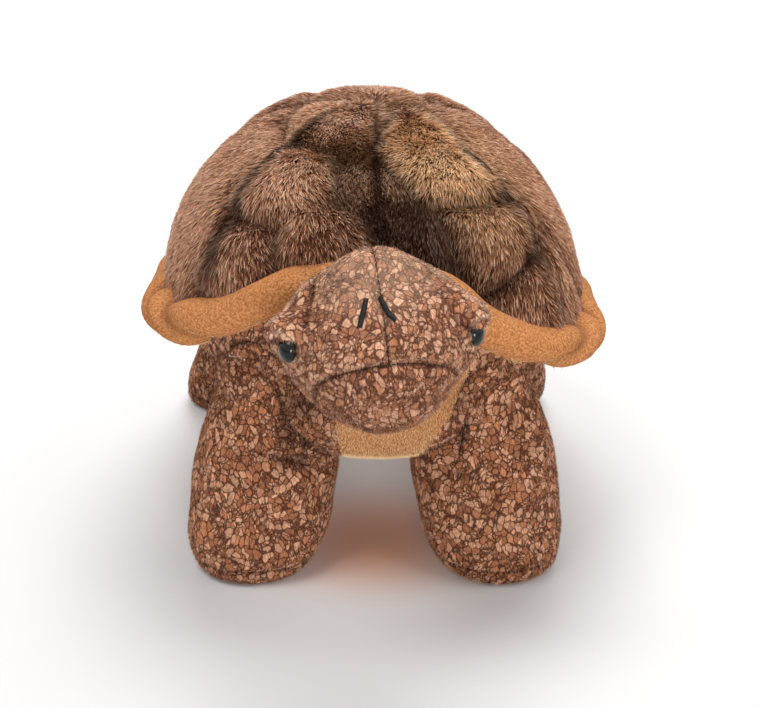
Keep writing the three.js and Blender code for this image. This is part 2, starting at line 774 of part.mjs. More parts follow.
// Legs, each a cover, a foot cup and stuffing
for (const leg of legs) {
  const hollow = legSolid(leg, clothThickness, legInnerSides, leg.radius);
  const skin = legSolid(leg, 0, legSides, 0).subtract(hollow);
  addPart(`leg_${leg.name}_cover`, skin.intersect(above(soleHeight + seamGap / 2)), 'printDark');
  addPart(`leg_${leg.name}_foot`, skin.intersect(below(soleHeight - seamGap / 2)), 'printDark');
  addPart(`leg_${leg.name}_stuffing`, legSolid(leg, clothThickness + seamGap, legInnerSides, 0), 'stuffing');
}

// Origin under the middle of the whole toy, on the floor
const box = new THREE.Box3().setFromObject(group);
const centre = box.getCenter(vector(0, 0, 0));
for (const part of group.children) part.geometry.translate(-centre.x, -centre.y, -box.min.z);

export default group;
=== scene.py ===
# %% [markdown]
# # A plush tortoise, dressed over its solids
# The toy was first built as closed solids: covers, stuffing, eyes and stitched bars. Here those
# solids come in as a fixed frame. Nothing in the frame is moved: every visible cloth is made
# anew in the same place, finer and softer, and most ride on the body that their solid belongs to.

import math

import bmesh
import bpy
import numpy as np
from mathutils import Euler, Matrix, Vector


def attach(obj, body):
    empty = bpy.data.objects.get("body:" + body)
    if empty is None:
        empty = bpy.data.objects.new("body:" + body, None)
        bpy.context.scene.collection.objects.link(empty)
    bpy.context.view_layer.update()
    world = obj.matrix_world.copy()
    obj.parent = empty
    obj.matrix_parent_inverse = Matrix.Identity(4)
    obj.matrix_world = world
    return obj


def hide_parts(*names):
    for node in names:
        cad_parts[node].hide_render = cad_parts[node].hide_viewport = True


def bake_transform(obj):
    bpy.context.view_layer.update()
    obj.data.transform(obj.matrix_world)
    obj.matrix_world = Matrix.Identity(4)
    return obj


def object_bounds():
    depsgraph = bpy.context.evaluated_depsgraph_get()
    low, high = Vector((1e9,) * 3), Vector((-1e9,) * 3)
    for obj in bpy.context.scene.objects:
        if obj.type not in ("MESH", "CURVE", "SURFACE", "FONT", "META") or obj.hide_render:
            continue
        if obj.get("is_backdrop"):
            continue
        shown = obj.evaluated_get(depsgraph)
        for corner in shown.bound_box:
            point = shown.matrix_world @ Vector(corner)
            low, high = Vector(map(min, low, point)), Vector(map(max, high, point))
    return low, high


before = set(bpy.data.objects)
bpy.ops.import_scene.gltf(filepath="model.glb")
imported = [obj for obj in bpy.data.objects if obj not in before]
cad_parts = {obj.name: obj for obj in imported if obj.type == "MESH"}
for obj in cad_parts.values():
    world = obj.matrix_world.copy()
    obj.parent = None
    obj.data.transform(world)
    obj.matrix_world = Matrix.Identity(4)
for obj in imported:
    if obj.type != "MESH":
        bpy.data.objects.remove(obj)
cad_low, cad_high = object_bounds()
print("solids reach", [round(b - a, 4) for a, b in zip(cad_low, cad_high)], "m")

# %% [markdown]
# ## Camera, lamps and floor
# The photograph looks about 24 degrees down on the toy from a little under a metre away. A long
# lens keeps the same slight perspective. Broad, soft lamps suit plush: a hard lamp would turn
# every fibre into a spark. The floor is white by its own colour, so no extra light is needed,
# and a warm brown shadow is painted on it under the belly.

# %% Camera
scene = bpy.context.scene
AIM = Vector((0, 0.01804, 0.0665))
CAMERA_CLIMB = math.radians(24)
CAMERA_DISTANCE = 0.8
SENSOR_WIDTH, LENS, SIDE_SHIFT = 36, 85.26, 0.0066  # millimetres, and a share of the picture's width


def place(name, data):
    """Links an object with that data into the scene."""
    made = bpy.data.objects.new(name, data)
    scene.collection.objects.link(made)
    return made


camera = place("camera", bpy.data.cameras.new("camera"))
back = Vector((0, -math.cos(CAMERA_CLIMB), math.sin(CAMERA_CLIMB)))
camera.location = AIM + back * CAMERA_DISTANCE
camera.rotation_euler = (math.radians(90) - CAMERA_CLIMB, 0, 0)
camera.data.sensor_width = SENSOR_WIDTH
camera.data.lens = LENS
camera.data.shift_x = SIDE_SHIFT
scene.camera = camera
scene.view_settings.view_transform = "Standard"
print("camera at", [round(v, 4) for v in camera.location])

# %% Lamps
# Where each hangs in metres, how wide it is and its power in watts
LAMPS = {
    "lamp_key": ((-0.5, -0.5, 1.35), 0.7, 9.5),
    "lamp_fill": ((0.8, -0.4, 1.1), 0.9, 5.5),
    "lamp_front": ((0.15, -1.3, 0.24), 0.4, 7.5),
    "lamp_top": ((0.1, 0.4, 1.25), 0.7, 9.5),
    "lamp_rear": ((0.0, 1.5, 0.45), 1.0, 12.0),
}
for name, (spot, width, power) in LAMPS.items():
    lamp = bpy.data.lights.new(name, "AREA")
    lamp.size, lamp.energy = width, power
    stand = place(name, lamp)
    stand.location = spot
    stand.rotation_euler = (AIM - Vector(spot)).to_track_quat("-Z", "Y").to_euler()
print(len(LAMPS), "lamps")


# %% [markdown]
# Node trees get long when every link is typed out, so one helper makes a node, sets its inputs
# and links whatever comes from another node. All finishes below are made with it.

# %% A helper for nodes
def add(tree, kind, inputs=(), **settings):
    """A node in a tree: inputs by name or number are values or sockets to link."""
    made = tree.nodes.new(kind)
    for key, value in settings.items():
        setattr(made, key, value)
    for key, value in dict(inputs).items():
        if isinstance(value, bpy.types.NodeSocket):
            tree.links.new(value, made.inputs[key])
        else:
            made.inputs[key].default_value = value
    return made


def mix(tree, share, first, second, how="MIX"):
    """Mixes two colours and gives the result's socket."""
    made = add(tree, "ShaderNodeMix", {0: share, 6: first, 7: second}, data_type="RGBA", blend_type=how)
    return made.outputs[2]


def sums(tree, how, *values):
    """A Math node's result."""
    return add(tree, "ShaderNodeMath", enumerate(values), operation=how).outputs[0]


def vectors(tree, how, first, second=(0, 0, 0)):
    """A Vector Math node's outputs for two vectors."""
    return add(tree, "ShaderNodeVectorMath", {0: first, 1: second}, operation=how).outputs


def grey(tree, value):
    """A grey of that brightness."""
    return add(tree, "ShaderNodeCombineColor", {0: value, 1: value, 2: value}).outputs[0]


def noise(tree, spot, scale, detail):
    """A Noise Texture's outputs: its value and its colour."""
    return add(tree, "ShaderNodeTexNoise", {"Vector": spot, "Scale": scale, "Detail": detail}).outputs


def roughen(tree, shader, height, strength, distance):
    """Bumps a shader's surface by a height, at most by a distance in metres."""
    bumps = add(tree, "ShaderNodeBump", {"Height": height, "Strength": strength, "Distance": distance})
    tree.links.new(bumps.outputs[0], shader.inputs["Normal"])


def span(tree, value, low, high, to_low=0.0, to_high=1.0, eased=False):
    """Maps a value from one span to another, held at both ends."""
    kind = "SMOOTHSTEP" if eased else "LINEAR"
    sockets = {0: value, 1: low, 2: high, 3: to_low, 4: to_high}
    return add(tree, "ShaderNodeMapRange", sockets, interpolation_type=kind).outputs[0]


def paint(red, green, blue):
    """A colour given as it looks on a screen, 0 to 255, turned into Blender's linear values."""
    shares = [value / 255 for value in (red, green, blue)]
    linear = [share / 12.92 if share < 0.0405 else ((share + 0.055) / 1.055) ** 2.4 for share in shares]
    return (*linear, 1.0)


# %% Floor and world
# The floor's white, and the warm brown of the shadow painted on it under the belly
FLOOR_WHITE, FLOOR_PAINTED_SHADOW = (0.76, 0.76, 0.76, 1), (0.78, 0.40, 0.24, 1)
PAINTED_SHADOW_MIDDLE, PAINTED_SHADOW_SQUEEZE = (0.0, -0.03, 0.0), (15.0, 16.0, 0.0)  # metres, and one over its half sizes
FLOOR_REACH = 4.0
white = bpy.data.materials.new("white_floor")
white.use_nodes = True
tree = white.node_tree
surface = tree.nodes["Principled BSDF"]
surface.inputs["Roughness"].default_value = 0.8
surface.inputs["Specular IOR Level"].default_value = 0.1
surface.inputs["Emission Color"].default_value = (1, 1, 1, 1)
spot = add(tree, "ShaderNodeTexCoord").outputs["Object"]
far = add(tree, "ShaderNodeSeparateXYZ", {0: spot}).outputs["Y"]
seen = add(tree, "ShaderNodeLightPath").outputs
glow = sums(tree, "MULTIPLY", seen["Is Camera Ray"], span(tree, far, -0.1, 0.6, 0.0, 0.3))
tree.links.new(glow, surface.inputs["Emission Strength"])
# A warm brown shadow is painted on the floor under the belly: its shade, and the colour its caramel cloth throws
# there
under = vectors(tree, "MULTIPLY", vectors(tree, "SUBTRACT", spot, PAINTED_SHADOW_MIDDLE)[0], PAINTED_SHADOW_SQUEEZE)[0]
under = span(tree, vectors(tree, "LENGTH", under)["Value"], 0.1, 1.0, 1.0, 0.0, eased=True)
tree.links.new(mix(tree, under, FLOOR_WHITE, FLOOR_PAINTED_SHADOW), surface.inputs["Base Color"])
corners = [(x * FLOOR_REACH, y * FLOOR_REACH, 0) for x, y in ((-1, -1), (1, -1), (1, 1), (-1, 1))]
floor_mesh = bpy.data.meshes.new("floor")
floor_mesh.from_pydata(corners, [], [(0, 1, 2, 3)])
floor_mesh.materials.append(white)
place("floor", floor_mesh)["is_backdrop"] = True

world = bpy.data.worlds.new("studio")
scene.world = world
world.use_nodes = True
tree = world.node_tree
seen = add(tree, "ShaderNodeLightPath").outputs
direct = sums(tree, "MAXIMUM", seen["Is Camera Ray"], seen["Is Glossy Ray"])
direct = sums(tree, "MAXIMUM", direct, seen["Is Transmission Ray"])
backdrop = tree.nodes["Background"]
backdrop.inputs["Color"].default_value = (1, 1, 1, 1)
tree.links.new(span(tree, direct, 0, 1, 0.16, 1.0), backdrop.inputs["Strength"])

# %% [markdown]
# ## Shapes as formulas
# The solids come from a few formulas in millimetres: a rim line with an arch over the neck, a
# dome that rises from it, a bowl below, lofted legs and a swollen round head. Repeating these
# formulas here, for whole arrays of points at once, gives much finer surfaces that lie exactly
# where the solids are.

# %% Arrays of points
MM = 0.001
SHIFT = np.array([0.0, 18.042, 0.0])  # from the formulas' own middle to the frame's


def metres(points):
    """Points in the formulas' millimetres as metres in the frame."""
    return (np.asarray(points, float) + SHIFT) * MM


def size_of(rows):
    """The length of each vector."""
    return np.linalg.norm(rows, axis=-1)


def unit(rows):
    """Vectors drawn to a length of 1."""
    return rows / np.maximum(size_of(rows)[..., None], 1e-9)


def spread(columns, rows):
    """Every pair of a column's value and a row's value, row after row."""
    first, second = np.meshgrid(columns, rows)
    return first.ravel(), second.ravel()


def wrapped(turn):
    """Angles as -180 to 180 degrees."""
    return (turn + 180) % 360 - 180


def ease(value, low, high):
    """0 up to a low value and 1 from a high one, with a soft step between."""
    share = np.clip((value - low) / (high - low), 0, 1)
    return share * share * (3 - 2 * share)


def heading(degrees):
    """Cosines and sines of angles in degrees."""
    turn = np.radians(degrees)
    return np.cos(turn), np.sin(turn)


def bump(distance, width):
    """1 at no distance, fading over a width."""
    return np.exp(-((distance / width) ** 2))


def lumps(points, size, seed):
    """A smooth random field from -1 to 1 with swells of about that size in millimetres."""
    spot = np.asarray(points) / size + seed * 13.7
    cell = np.floor(spot).astype(np.int64)
    share = spot - cell
    share = share * share * (3 - 2 * share)
    total = np.zeros(len(spot))
    for corner in np.ndindex(2, 2, 2):
        x, y, z = (cell + corner).T
        mixed = (x * 374761393 + y * 668265263 + z * 1274126177) & 0x7FFFFFFF
        mixed = ((mixed ^ (mixed >> 13)) * 1103515245) & 0x7FFFFFFF
        weight = np.prod(np.where(corner, share, 1 - share), axis=1)
        total += weight * (((mixed ^ (mixed >> 16)) % 65536) / 32767.5 - 1)
    return total


def wander(points, size, seed):
    """Three such fields as a vector for each point."""
    return np.stack([lumps(points, size, seed + step) for step in (0, 31, 62)], axis=-1)


def read_table(table, at, soft=0.035):
    """Reads rows of (place, value) with a little rounding at each row."""
    places, values = np.array(table).T
    return sum(np.interp(at + step, places, values) for step in (-soft, 0, soft)) / 3


def near_line(points, line):
    """How far points lie from a drawn line, and how far along it the nearest spot is, 0 to 1."""
    line = np.asarray(line, float)
    best, along = np.full(len(points), 1e9), np.zeros(len(points))
    for number, (start, end) in enumerate(zip(line[:-1], line[1:])):
        run = end - start
        share = np.clip((points - start) @ run / (run @ run), 0, 1)
        far = size_of(points - start - share[:, None] * run)
        along = np.where(far < best, (number + share) / (len(line) - 1), along)
        best = np.minimum(best, far)
    return best, along


# %% The rim line
RIM_HALF_WIDTH, RIM_HALF_LENGTH, RIM_MIDDLE_Y = 90, 108, 8
RIM_HEIGHT, RIM_ARCH, RIM_ROLL, REAR_TAPER = 95.5, 45, math.radians(4.2), 0.075
RIM_HALF_DEPTH, RIM_HALF_HEIGHT = 11, 8.2
# The arch over the neck: share of the half width, and share of the arch's height
ARCH_LEFT = [(0, 1), (0.2, 0.985), (0.31, 0.935), (0.45, 0.745), (0.59, 0.545), (0.72, 0.38), (0.84, 0.21),
             (0.95, 0.08), (1, 0)]
ARCH_RIGHT = [(0, 1), (0.2, 0.985), (0.31, 0.92), (0.45, 0.64), (0.59, 0.47), (0.73, 0.33), (0.86, 0.22),
              (0.95, 0.12), (1, 0)]


def rim_line(angle, taper=REAR_TAPER):
    """Middle of the rim at plan angles in degrees."""
    c, s = heading(np.asarray(angle, float))
    square = np.where(s < 0, 2.6, 2.2)
    reach = (np.abs(c) ** square + np.abs(s) ** square) ** (-1 / square)
    x = RIM_HALF_WIDTH * c * reach * (1 - taper * ease(s, -0.6, 0.1))
    share = np.minimum(1, np.abs(x) / RIM_HALF_WIDTH)
    arch = np.where(x < 0, read_table(ARCH_LEFT, share), read_table(ARCH_RIGHT, share))
    z = RIM_HEIGHT - math.tan(RIM_ROLL) * x + RIM_ARCH * np.where(s < 0, arch, 0) * ease(-s, 0, 0.02)
    return np.stack([x, RIM_MIDDLE_Y + RIM_HALF_LENGTH * s * reach, z], axis=-1)


# %% The shell's dome
SHELL_HALF_WIDTH, SHELL_TOP, SHELL_LEAN, SHELL_ROUND, CREASE = 92, 183.5, 2, 2.1, 7
# The plan angles where a side panel stands up at its seam
WELTS, WELT_WIDTH, WELT_HEIGHT = (-139.5, -36), 1.8, 2.2
# Plan angle, climb, how proud it stands, and the cushion it belongs to
SCUTES = np.array([
    (-115, 48, 1, 1), (-103, 23, 1, 2), (-128, 20, 0.8, 3), (-113, 69, 0.85, 4), (-66, 56, 1, 5),
    (-57, 31, 0.9, 6), (-43, 15, 0.8, 7), (-79, 29, 0.12, 8), (-93, 50, 0.3, 9),
    (-150, 24, 0.7, 10), (-163, 54, 0.7, 10), (178, 28, 0.7, 10), (175, 56, 0.7, 10), (-150, 6, 0.7, 10),
    (-7, 32, 0.7, 11), (8, 57, 0.7, 11), (14, 10, 0.7, 11), (18, 34, 0.7, 11), (-16, 62, 0.7, 11),
    (148, 26, 0.8, 12), (138, 54, 0.8, 13), (115, 28, 0.9, 14), (90, 50, 1, 15), (65, 28, 0.9, 16),
    (42, 54, 0.8, 17), (40, 26, 0.8, 18), (100, 78, 0.8, 19), (90, 12, 0.6, 20),
])
CREASE_SHARE, CUSHION_ROUND, LIGHT_PRESS, SPARE_DEPTH, FILLED = 0.3, 2.5, 0.18, 0.3, 0.82
# The cloth's own cushions: two of them reach further up than the solid's
CLOTH_SCUTES = np.array([row for row in SCUTES.tolist() if row[3] not in (4, 5)] + [
    (-112, 76, 0.85, 4), (-150, 79, 0.85, 4), (-63, 56, 1, 5), (-50, 69, 1, 5)])


def aim(angle, climb):
    """Unit directions from a plan angle and a climb in degrees."""
    c, s = heading(angle)
    wide, high = heading(climb)
    return np.stack([c * wide, s * wide, high * np.ones_like(c)], axis=-1)


def crease_depth(angle, climb, scutes):
    """0 on a scute's cushion, 1 down in the stitched line between two scutes."""
    far = size_of(aim(angle, climb)[:, None, :] - aim(scutes[:, 0], scutes[:, 1])[None])
    first = np.argmin(far, axis=1)
    own = scutes[first, 3][:, None]
    apart = np.where(own == scutes[None, :, 3], 9.0, far) - far.min(axis=1)[:, None]
    press = (1 - np.clip(apart / CREASE_SHARE, 0, 1)) ** CUSHION_ROUND
    press *= np.where((own <= 2) & (scutes[None, :, 3] <= 2), LIGHT_PRESS, 1)
    return 1 - (1 - press.max(axis=1)) * scutes[first, 2]


def shell_skin(angle, climb, inset=0.0):
    """Points on the quilted dome and how deep each lies in a crease."""
    angle, climb = np.asarray(angle, float), np.asarray(climb, float)
    rim = rim_line(angle)
    plan = (rim_line(angle, 0) - (0, RIM_MIDDLE_Y, 0)) * (1, 1, 0) * SHELL_HALF_WIDTH / RIM_HALF_WIDTH
    wide, high = heading(climb)
    stretch = (np.abs(wide) ** SHELL_ROUND + np.abs(high) ** SHELL_ROUND) ** (-1 / SHELL_ROUND)
    rise = SHELL_TOP - rim[:, 2]
    lean = SHELL_ROUND - 1
    length = size_of(plan)
    out = plan / length[:, None] * ((np.maximum(wide, 0) * stretch) ** lean / length)[:, None]
    out[:, 2] = np.sign(high) * np.abs(high * stretch) ** lean / rise
    out = unit(out)
    depth = crease_depth(angle, climb, CLOTH_SCUTES)
    held = np.minimum(depth, crease_depth(angle, climb, SCUTES) + SPARE_DEPTH)
    points = plan * (wide * stretch)[:, None]
    points[:, 0] -= SHELL_LEAN * high * stretch
    points[:, 1] += RIM_MIDDLE_Y
    points[:, 2] += rim[:, 2] + rise * high * stretch
    welt = sum(bump(wrapped(angle - at), WELT_WIDTH) for at in WELTS)
    welt = welt * ease(climb, 8, 20) * ease(climb, 88, 70)
    sink = CREASE * FILLED * ease(climb, 3, 12) * held + inset - WELT_HEIGHT * welt
    return points - out * sink[:, None], depth


# %% Meshes from arrays
def grid_faces(rows, columns, around=False, looped=False):
    """Four-sided faces over a grid of points, closed round its columns and round its rows if asked."""
    steps = np.arange(rows - (not looped)), np.arange(columns - (not around))
    row, column = np.meshgrid(*steps, indexing="ij")
    above, after = (row + 1) % rows, (column + 1) % columns
    here, over = row * columns, above * columns
    corners = [here + column, here + after, over + after, over + column]
    return np.stack(corners, axis=-1).reshape(-1, 4)


def fan(ring, centre):
    """Triangles between a centre and a closed ring of point numbers."""
    return np.stack([np.full(len(ring), centre), np.roll(ring, -1), ring], axis=-1)


def capped(points, columns):
    """A tube's grid of points closed with a fan at each end."""
    rows, count = len(points) // columns, len(points)
    first, last = np.arange(columns), count - columns + np.arange(columns)
    fans = np.vstack([fan(first, count), fan(last, count + 1)[:, [0, 2, 1]]])
    ends = np.stack([points[first].mean(0), points[last].mean(0)])
    return np.vstack([points, ends]), [grid_faces(rows, columns, True), fans]


def without_spares(points, faces, *values):
    """Drops the points that no face uses."""
    used = np.unique(np.concatenate([group.ravel() for group in faces]))
    after = np.zeros(len(points), int)
    after[used] = np.arange(len(used))
    return points[used], [after[group] for group in faces], *(row[used] for row in values)


def build(name, points, faces, finish, masks=(), smooth=True):
    """A mesh object from points in millimetres, faces of one size each, and named values per point."""
    mesh = bpy.data.meshes.new(name)
    groups = faces if isinstance(faces, list) else [faces]
    mesh.vertices.add(len(points))
    mesh.vertices.foreach_set("co", metres(points).astype(np.float32).ravel())
    sizes = np.concatenate([np.full(len(g), g.shape[1]) for g in groups])
    mesh.loops.add(int(sizes.sum()))
    mesh.loops.foreach_set("vertex_index", np.concatenate([g.ravel() for g in groups]).astype(np.int32))
    mesh.polygons.add(len(sizes))
    starts = np.concatenate([[0], np.cumsum(sizes)[:-1]])
    mesh.polygons.foreach_set("loop_start", starts.astype(np.int32))
    mesh.update(calc_edges=True)
    mesh.polygons.foreach_set("use_smooth", np.full(len(sizes), smooth))
    for key, values in {"place": metres(points), **dict(masks)}.items():
        values = np.asarray(values, np.float32)
        kind = "FLOAT_VECTOR" if values.ndim == 2 else "FLOAT"
        layer = mesh.attributes.new(key, kind, "POINT")
        layer.data.foreach_set("vector" if values.ndim == 2 else "value", values.ravel())
    mesh.materials.append(finish)
    return place(name, mesh)


def baked(piece):
    """Applies a piece's modifiers, so that its mesh is final."""
    bpy.context.view_layer.update()
    made = bpy.data.meshes.new_from_object(piece.evaluated_get(bpy.context.evaluated_depsgraph_get()))
    piece.modifiers.clear()
    piece.data = made
    return piece


CLOTH_DEPTH, PILE_CLOTH_DEPTH, TAIL_CLOTH_DEPTH = 1.4, 1.1, 1.0


def thicken(piece, depth=CLOTH_DEPTH):
    """Gives a cloth its thickness, inward."""
    layer = piece.modifiers.new("cloth", "SOLIDIFY")
    layer.thickness, layer.offset = depth * MM, -1
    return baked(piece)


def dress(piece, nodes=(), body=None):
    """Hides the solids that a piece stands in for, and hangs it on the body it rides on."""
    if nodes:
        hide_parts(*nodes)
    if body:
        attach(piece, body)
    return piece


# How far behind the face of its cloth each filling starts
FILLING_INSETS = {"rim": 1.8, "belly": 3.2, "shell": 3.6, "leg": 2.3, "head": 2.0, "neck": 2.2}


def wadding(name, points, faces, node, body=None):
    """A soft copy of a stuffing solid, just inside its cloth."""
    return dress(build(name, points, faces, WADDING), [node], body)


# %% [markdown]
# ## Finishes
# Three cloths make the toy: a long brown pile on the shell, a short caramel plush on the rim and
# belly, and a short nap printed with pebbles on head, legs and neck. Each pile is made of real
# strands over a ground cloth, because fur that is only painted on looks like a decal at the
# outline. The strands carry a few named values, such as how far a point is from its root, and
# the finishes turn these into colour.


# %% Effects that several finishes share
def group(name, inputs, outputs):
    """A shader node group with named sockets, and its two end nodes."""
    made = bpy.data.node_groups.new(name, "ShaderNodeTree")
    for label, kind, value in inputs:
        socket = made.interface.new_socket(label, in_out="INPUT", socket_type="NodeSocket" + kind)
        if value is not None:
            socket.default_value = value
    for label, kind in outputs:
        made.interface.new_socket(label, in_out="OUTPUT", socket_type="NodeSocket" + kind)
    return made, add(made, "NodeGroupInput").outputs, add(made, "NodeGroupOutput").inputs


def pebble_print():
    """Pebbles of mixed sizes in three colours, with soft dark lines between them."""
    made, given, gives = group(
        "pebble_print",
        [("Place", "Vector", None), ("Pebbles per metre", "Float", 250.0), ("Pale", "Color", None),
         ("Warm", "Color", None), ("Brown", "Color", None), ("Line", "Color", None),
         ("Line width", "Float", 0.00019)],
        [("Color", "Color"), ("Height", "Float")],
    )
    spot = vectors(made, "MULTIPLY", given["Place"], (1.0, 0.9, 0.78))[0]
    for scale, reach in ((75.0, 0.0040), (420.0, 0.0008)):
        off = vectors(made, "SUBTRACT", noise(made, given["Place"], scale, 1.0)["Color"], (0.5, 0.5, 0.5))[0]
        spot = vectors(made, "ADD", spot, vectors(made, "MULTIPLY", off, (2 * reach,) * 3)[0])[0]
    cells = []
    for share in (1.0, 1.45):
        scale = sums(made, "MULTIPLY", given["Pebbles per metre"], share)
        cell = add(made, "ShaderNodeTexVoronoi", {"Vector": spot, "Scale": scale})
        edge = add(made, "ShaderNodeTexVoronoi", {"Vector": spot, "Scale": scale}, feature="DISTANCE_TO_EDGE")
        parts = add(made, "ShaderNodeSeparateColor", {0: cell.outputs["Color"]}).outputs
        corner = span(made, cell.outputs["Distance"], 0.45, 0.8, 0.0, 0.06)
        edge = sums(made, "MAXIMUM", sums(made, "SUBTRACT", edge.outputs["Distance"], corner), 0.0)
        cells.append((parts, sums(made, "DIVIDE", edge, scale)))
    (large, large_edge), (small, small_edge) = cells
    split = span(made, large[2], 0.33, 0.35)
    split_edge = sums(made, "ADD", small_edge, sums(made, "MULTIPLY", split, 0.1))
    edge = sums(made, "MINIMUM", large_edge, split_edge)
    wide = span(made, noise(made, given["Place"], 160.0, 1.0)[0], 0.3, 0.7, 0.7, 1.5)
    wide = sums(made, "MULTIPLY", wide, given["Line width"])
    low, high = (sums(made, "MULTIPLY", wide, share) for share in (0.15, 1.25))
    inside = span(made, edge, low, high, eased=True)
    kind = add(made, "ShaderNodeMix", {0: split, 2: small[0], 3: large[0]}).outputs[0]
    tone = add(made, "ShaderNodeMix", {0: split, 2: small[1], 3: large[1]}).outputs[0]
    colour = mix(made, span(made, kind, 0.24, 0.32), given["Brown"], given["Warm"])
    colour = mix(made, span(made, kind, 0.48, 0.58), colour, given["Pale"])
    colour = mix(made, 1.0, colour, grey(made, span(made, tone, 0, 1, 0.8, 1.12)), "MULTIPLY")
    combed = vectors(made, "MULTIPLY", given["Place"], (1.0, 1.0, 0.4))[0]
    fibre = noise(made, combed, 1500.0, 3.0)[0]
    colour = mix(made, 1.0, colour, grey(made, span(made, fibre, 0.34, 0.66, 0.66, 1.3)), "MULTIPLY")
    made.links.new(mix(made, span(made, inside, 0, 1, 0.12, 1.0), given["Line"], colour), gives["Color"])
    made.links.new(sums(made, "ADD", sums(made, "MULTIPLY", inside, 0.3), fibre), gives["Height"])
    return made


def seam_shade():
    """Paints shade into a colour along seams and in folds, by a mask."""
    made, given, gives = group(
        "seam_shade", [("Color", "Color", None), ("Fold", "Float", 0.0), ("Strength", "Float", 0.6)],
        [("Color", "Color")]
    )
    share = sums(made, "MULTIPLY", given["Fold"], given["Strength"])
    dark = mix(made, 1.0, given["Color"], (0.16, 0.09, 0.07, 1), "MULTIPLY")
    made.links.new(mix(made, share, given["Color"], dark), gives["Color"])
    return made


def pile_colour():
    """Colour along a strand: dark at its root, its own tone in the middle, pale at the tip as a painted
    highlight. A golden share, partly a painted highlight, turns it golden, and in folds shade is painted.
    """
    made, given, gives = group(
        "pile_colour",
        [("Along", "Float", 0.5), ("Tone", "Float", 0.5), ("Fold", "Float", 0.0), ("Gold_and_highlight", "Float", 0.0),
         ("Root", "Color", None), ("Middle", "Color", None), ("Other", "Color", None), ("Tip", "Color", None),
         ("Golden", "Color", None), ("Tip share", "Float", 0.4)],
        [("Color", "Color")],
    )
    body = mix(made, span(made, given["Tone"], 0.2, 0.8), given["Middle"], given["Other"])
    body = mix(made, given["Gold_and_highlight"], body, given["Golden"])
    colour = mix(made, span(made, given["Along"], 0.0, 0.6, eased=True), given["Root"], body)
    lit = sums(made, "MULTIPLY", span(made, given["Along"], 0.5, 1.0), given["Tip share"])
    lit = sums(made, "MULTIPLY", lit, span(made, given["Tone"], 0.35, 1.0, 0.05, 1.2))
    colour = mix(made, lit, colour, given["Tip"])
    colour = mix(made, sums(made, "MULTIPLY", given["Fold"], 0.88), colour, given["Root"])
    made.links.new(colour, gives["Color"])
    return made


PEBBLES, SEAM_SHADE, PILE = pebble_print(), seam_shade(), pile_colour()
print("shared effects:", ", ".join(g.name for g in (PEBBLES, SEAM_SHADE, PILE)))


# %% Cloth and strand finishes
def finish(name, rough, specular):
    """A named material with plain values on its shader. Gives the material, its tree and shader."""
    made = bpy.data.materials.new(name)
    made.use_nodes = True
    shader = made.node_tree.nodes["Principled BSDF"]
    shader.inputs["Roughness"].default_value = rough
    shader.inputs["Specular IOR Level"].default_value = specular
    return made, made.node_tree, shader


def value_of(tree, name, output="Fac"):
    """A value that a mesh carries for each point."""
    return add(tree, "ShaderNodeAttribute", attribute_name=name).outputs[output]


def use(tree, effect, inputs):
    """Places a shared effect in a tree with its own values and gives its outputs."""
    return add(tree, "ShaderNodeGroup", inputs, node_tree=effect).outputs


# The pale colour of the sheen painted on plush, and how much of it a plain stretch has
SHEEN_PAINT, PLAIN_SHEEN = paint(244, 214, 186), 0.3  # the pale tips' colour, and how many a plain stretch has
WARM_GLINT = (1.0, 0.62, 0.42, 1.0)


def printed(name, pale, warm, brown, line, pebbles, strand=False):
    """The pebble print, on the cloth itself or on the fuzz that stands on it, with shade painted along seams and in
    folds, and a painted sheen.
    """
    made, tree, shader = finish(name, 0.9, 0.12)
    found = use(tree, PEBBLES, {"Place": value_of(tree, "place", "Vector"), "Pebbles per metre": pebbles,
                                "Pale": pale, "Warm": warm, "Brown": brown, "Line": line})
    fold = value_of(tree, "fold")
    colour = use(tree, SEAM_SHADE, {"Color": found["Color"], "Fold": fold, "Strength": 0.9})[0]
    if strand:
        tone = grey(tree, span(tree, value_of(tree, "tone"), 0, 1, 0.62, 1.3))
        colour = mix(tree, 1.0, colour, tone, "MULTIPLY")
        lit = sums(tree, "MULTIPLY", value_of(tree, "along"), value_of(tree, "painted_sheen"))
    else:
        lit = sums(tree, "MULTIPLY", span(tree, value_of(tree, "painted_sheen"), 0.3, 1.0), 0.28)
        roughen(tree, shader, found["Height"], 0.55, 0.0006)
    tree.links.new(mix(tree, lit, colour, SHEEN_PAINT), shader.inputs["Base Color"])
    return made


def ground(name, low, high):
    """The cloth that a pile grows from: uneven in tone, rough to the touch, with shade painted along seams and in
    folds.
    """
    made, tree, shader = finish(name, 0.95, 0.1)
    grain = noise(tree, value_of(tree, "place", "Vector"), 1100.0, 3.0)[0]
    colour = mix(tree, span(tree, grain, 0.35, 0.65), low, high)
    colour = use(tree, SEAM_SHADE, {"Color": colour, "Fold": value_of(tree, "fold"), "Strength": 0.6})[0]
    tree.links.new(colour, shader.inputs["Base Color"])
    roughen(tree, shader, grain, 0.7, 0.0008)
    return made


def pile(name, tones, tip_share, rough, specular):
    """Strands whose colour runs from root to tip."""
    made, tree, shader = finish(name, rough, specular)
    carried = {key: value_of(tree, key.lower()) for key in ("Along", "Tone", "Fold", "Gold_and_highlight")}
    tones = {key: paint(*tone) for key, tone in tones.items()}
    colour = use(tree, PILE, {**carried, **tones, "Tip share": tip_share})[0]
    tree.links.new(colour, shader.inputs["Base Color"])
    shader.inputs["Specular Tint"].default_value = WARM_GLINT
    return made


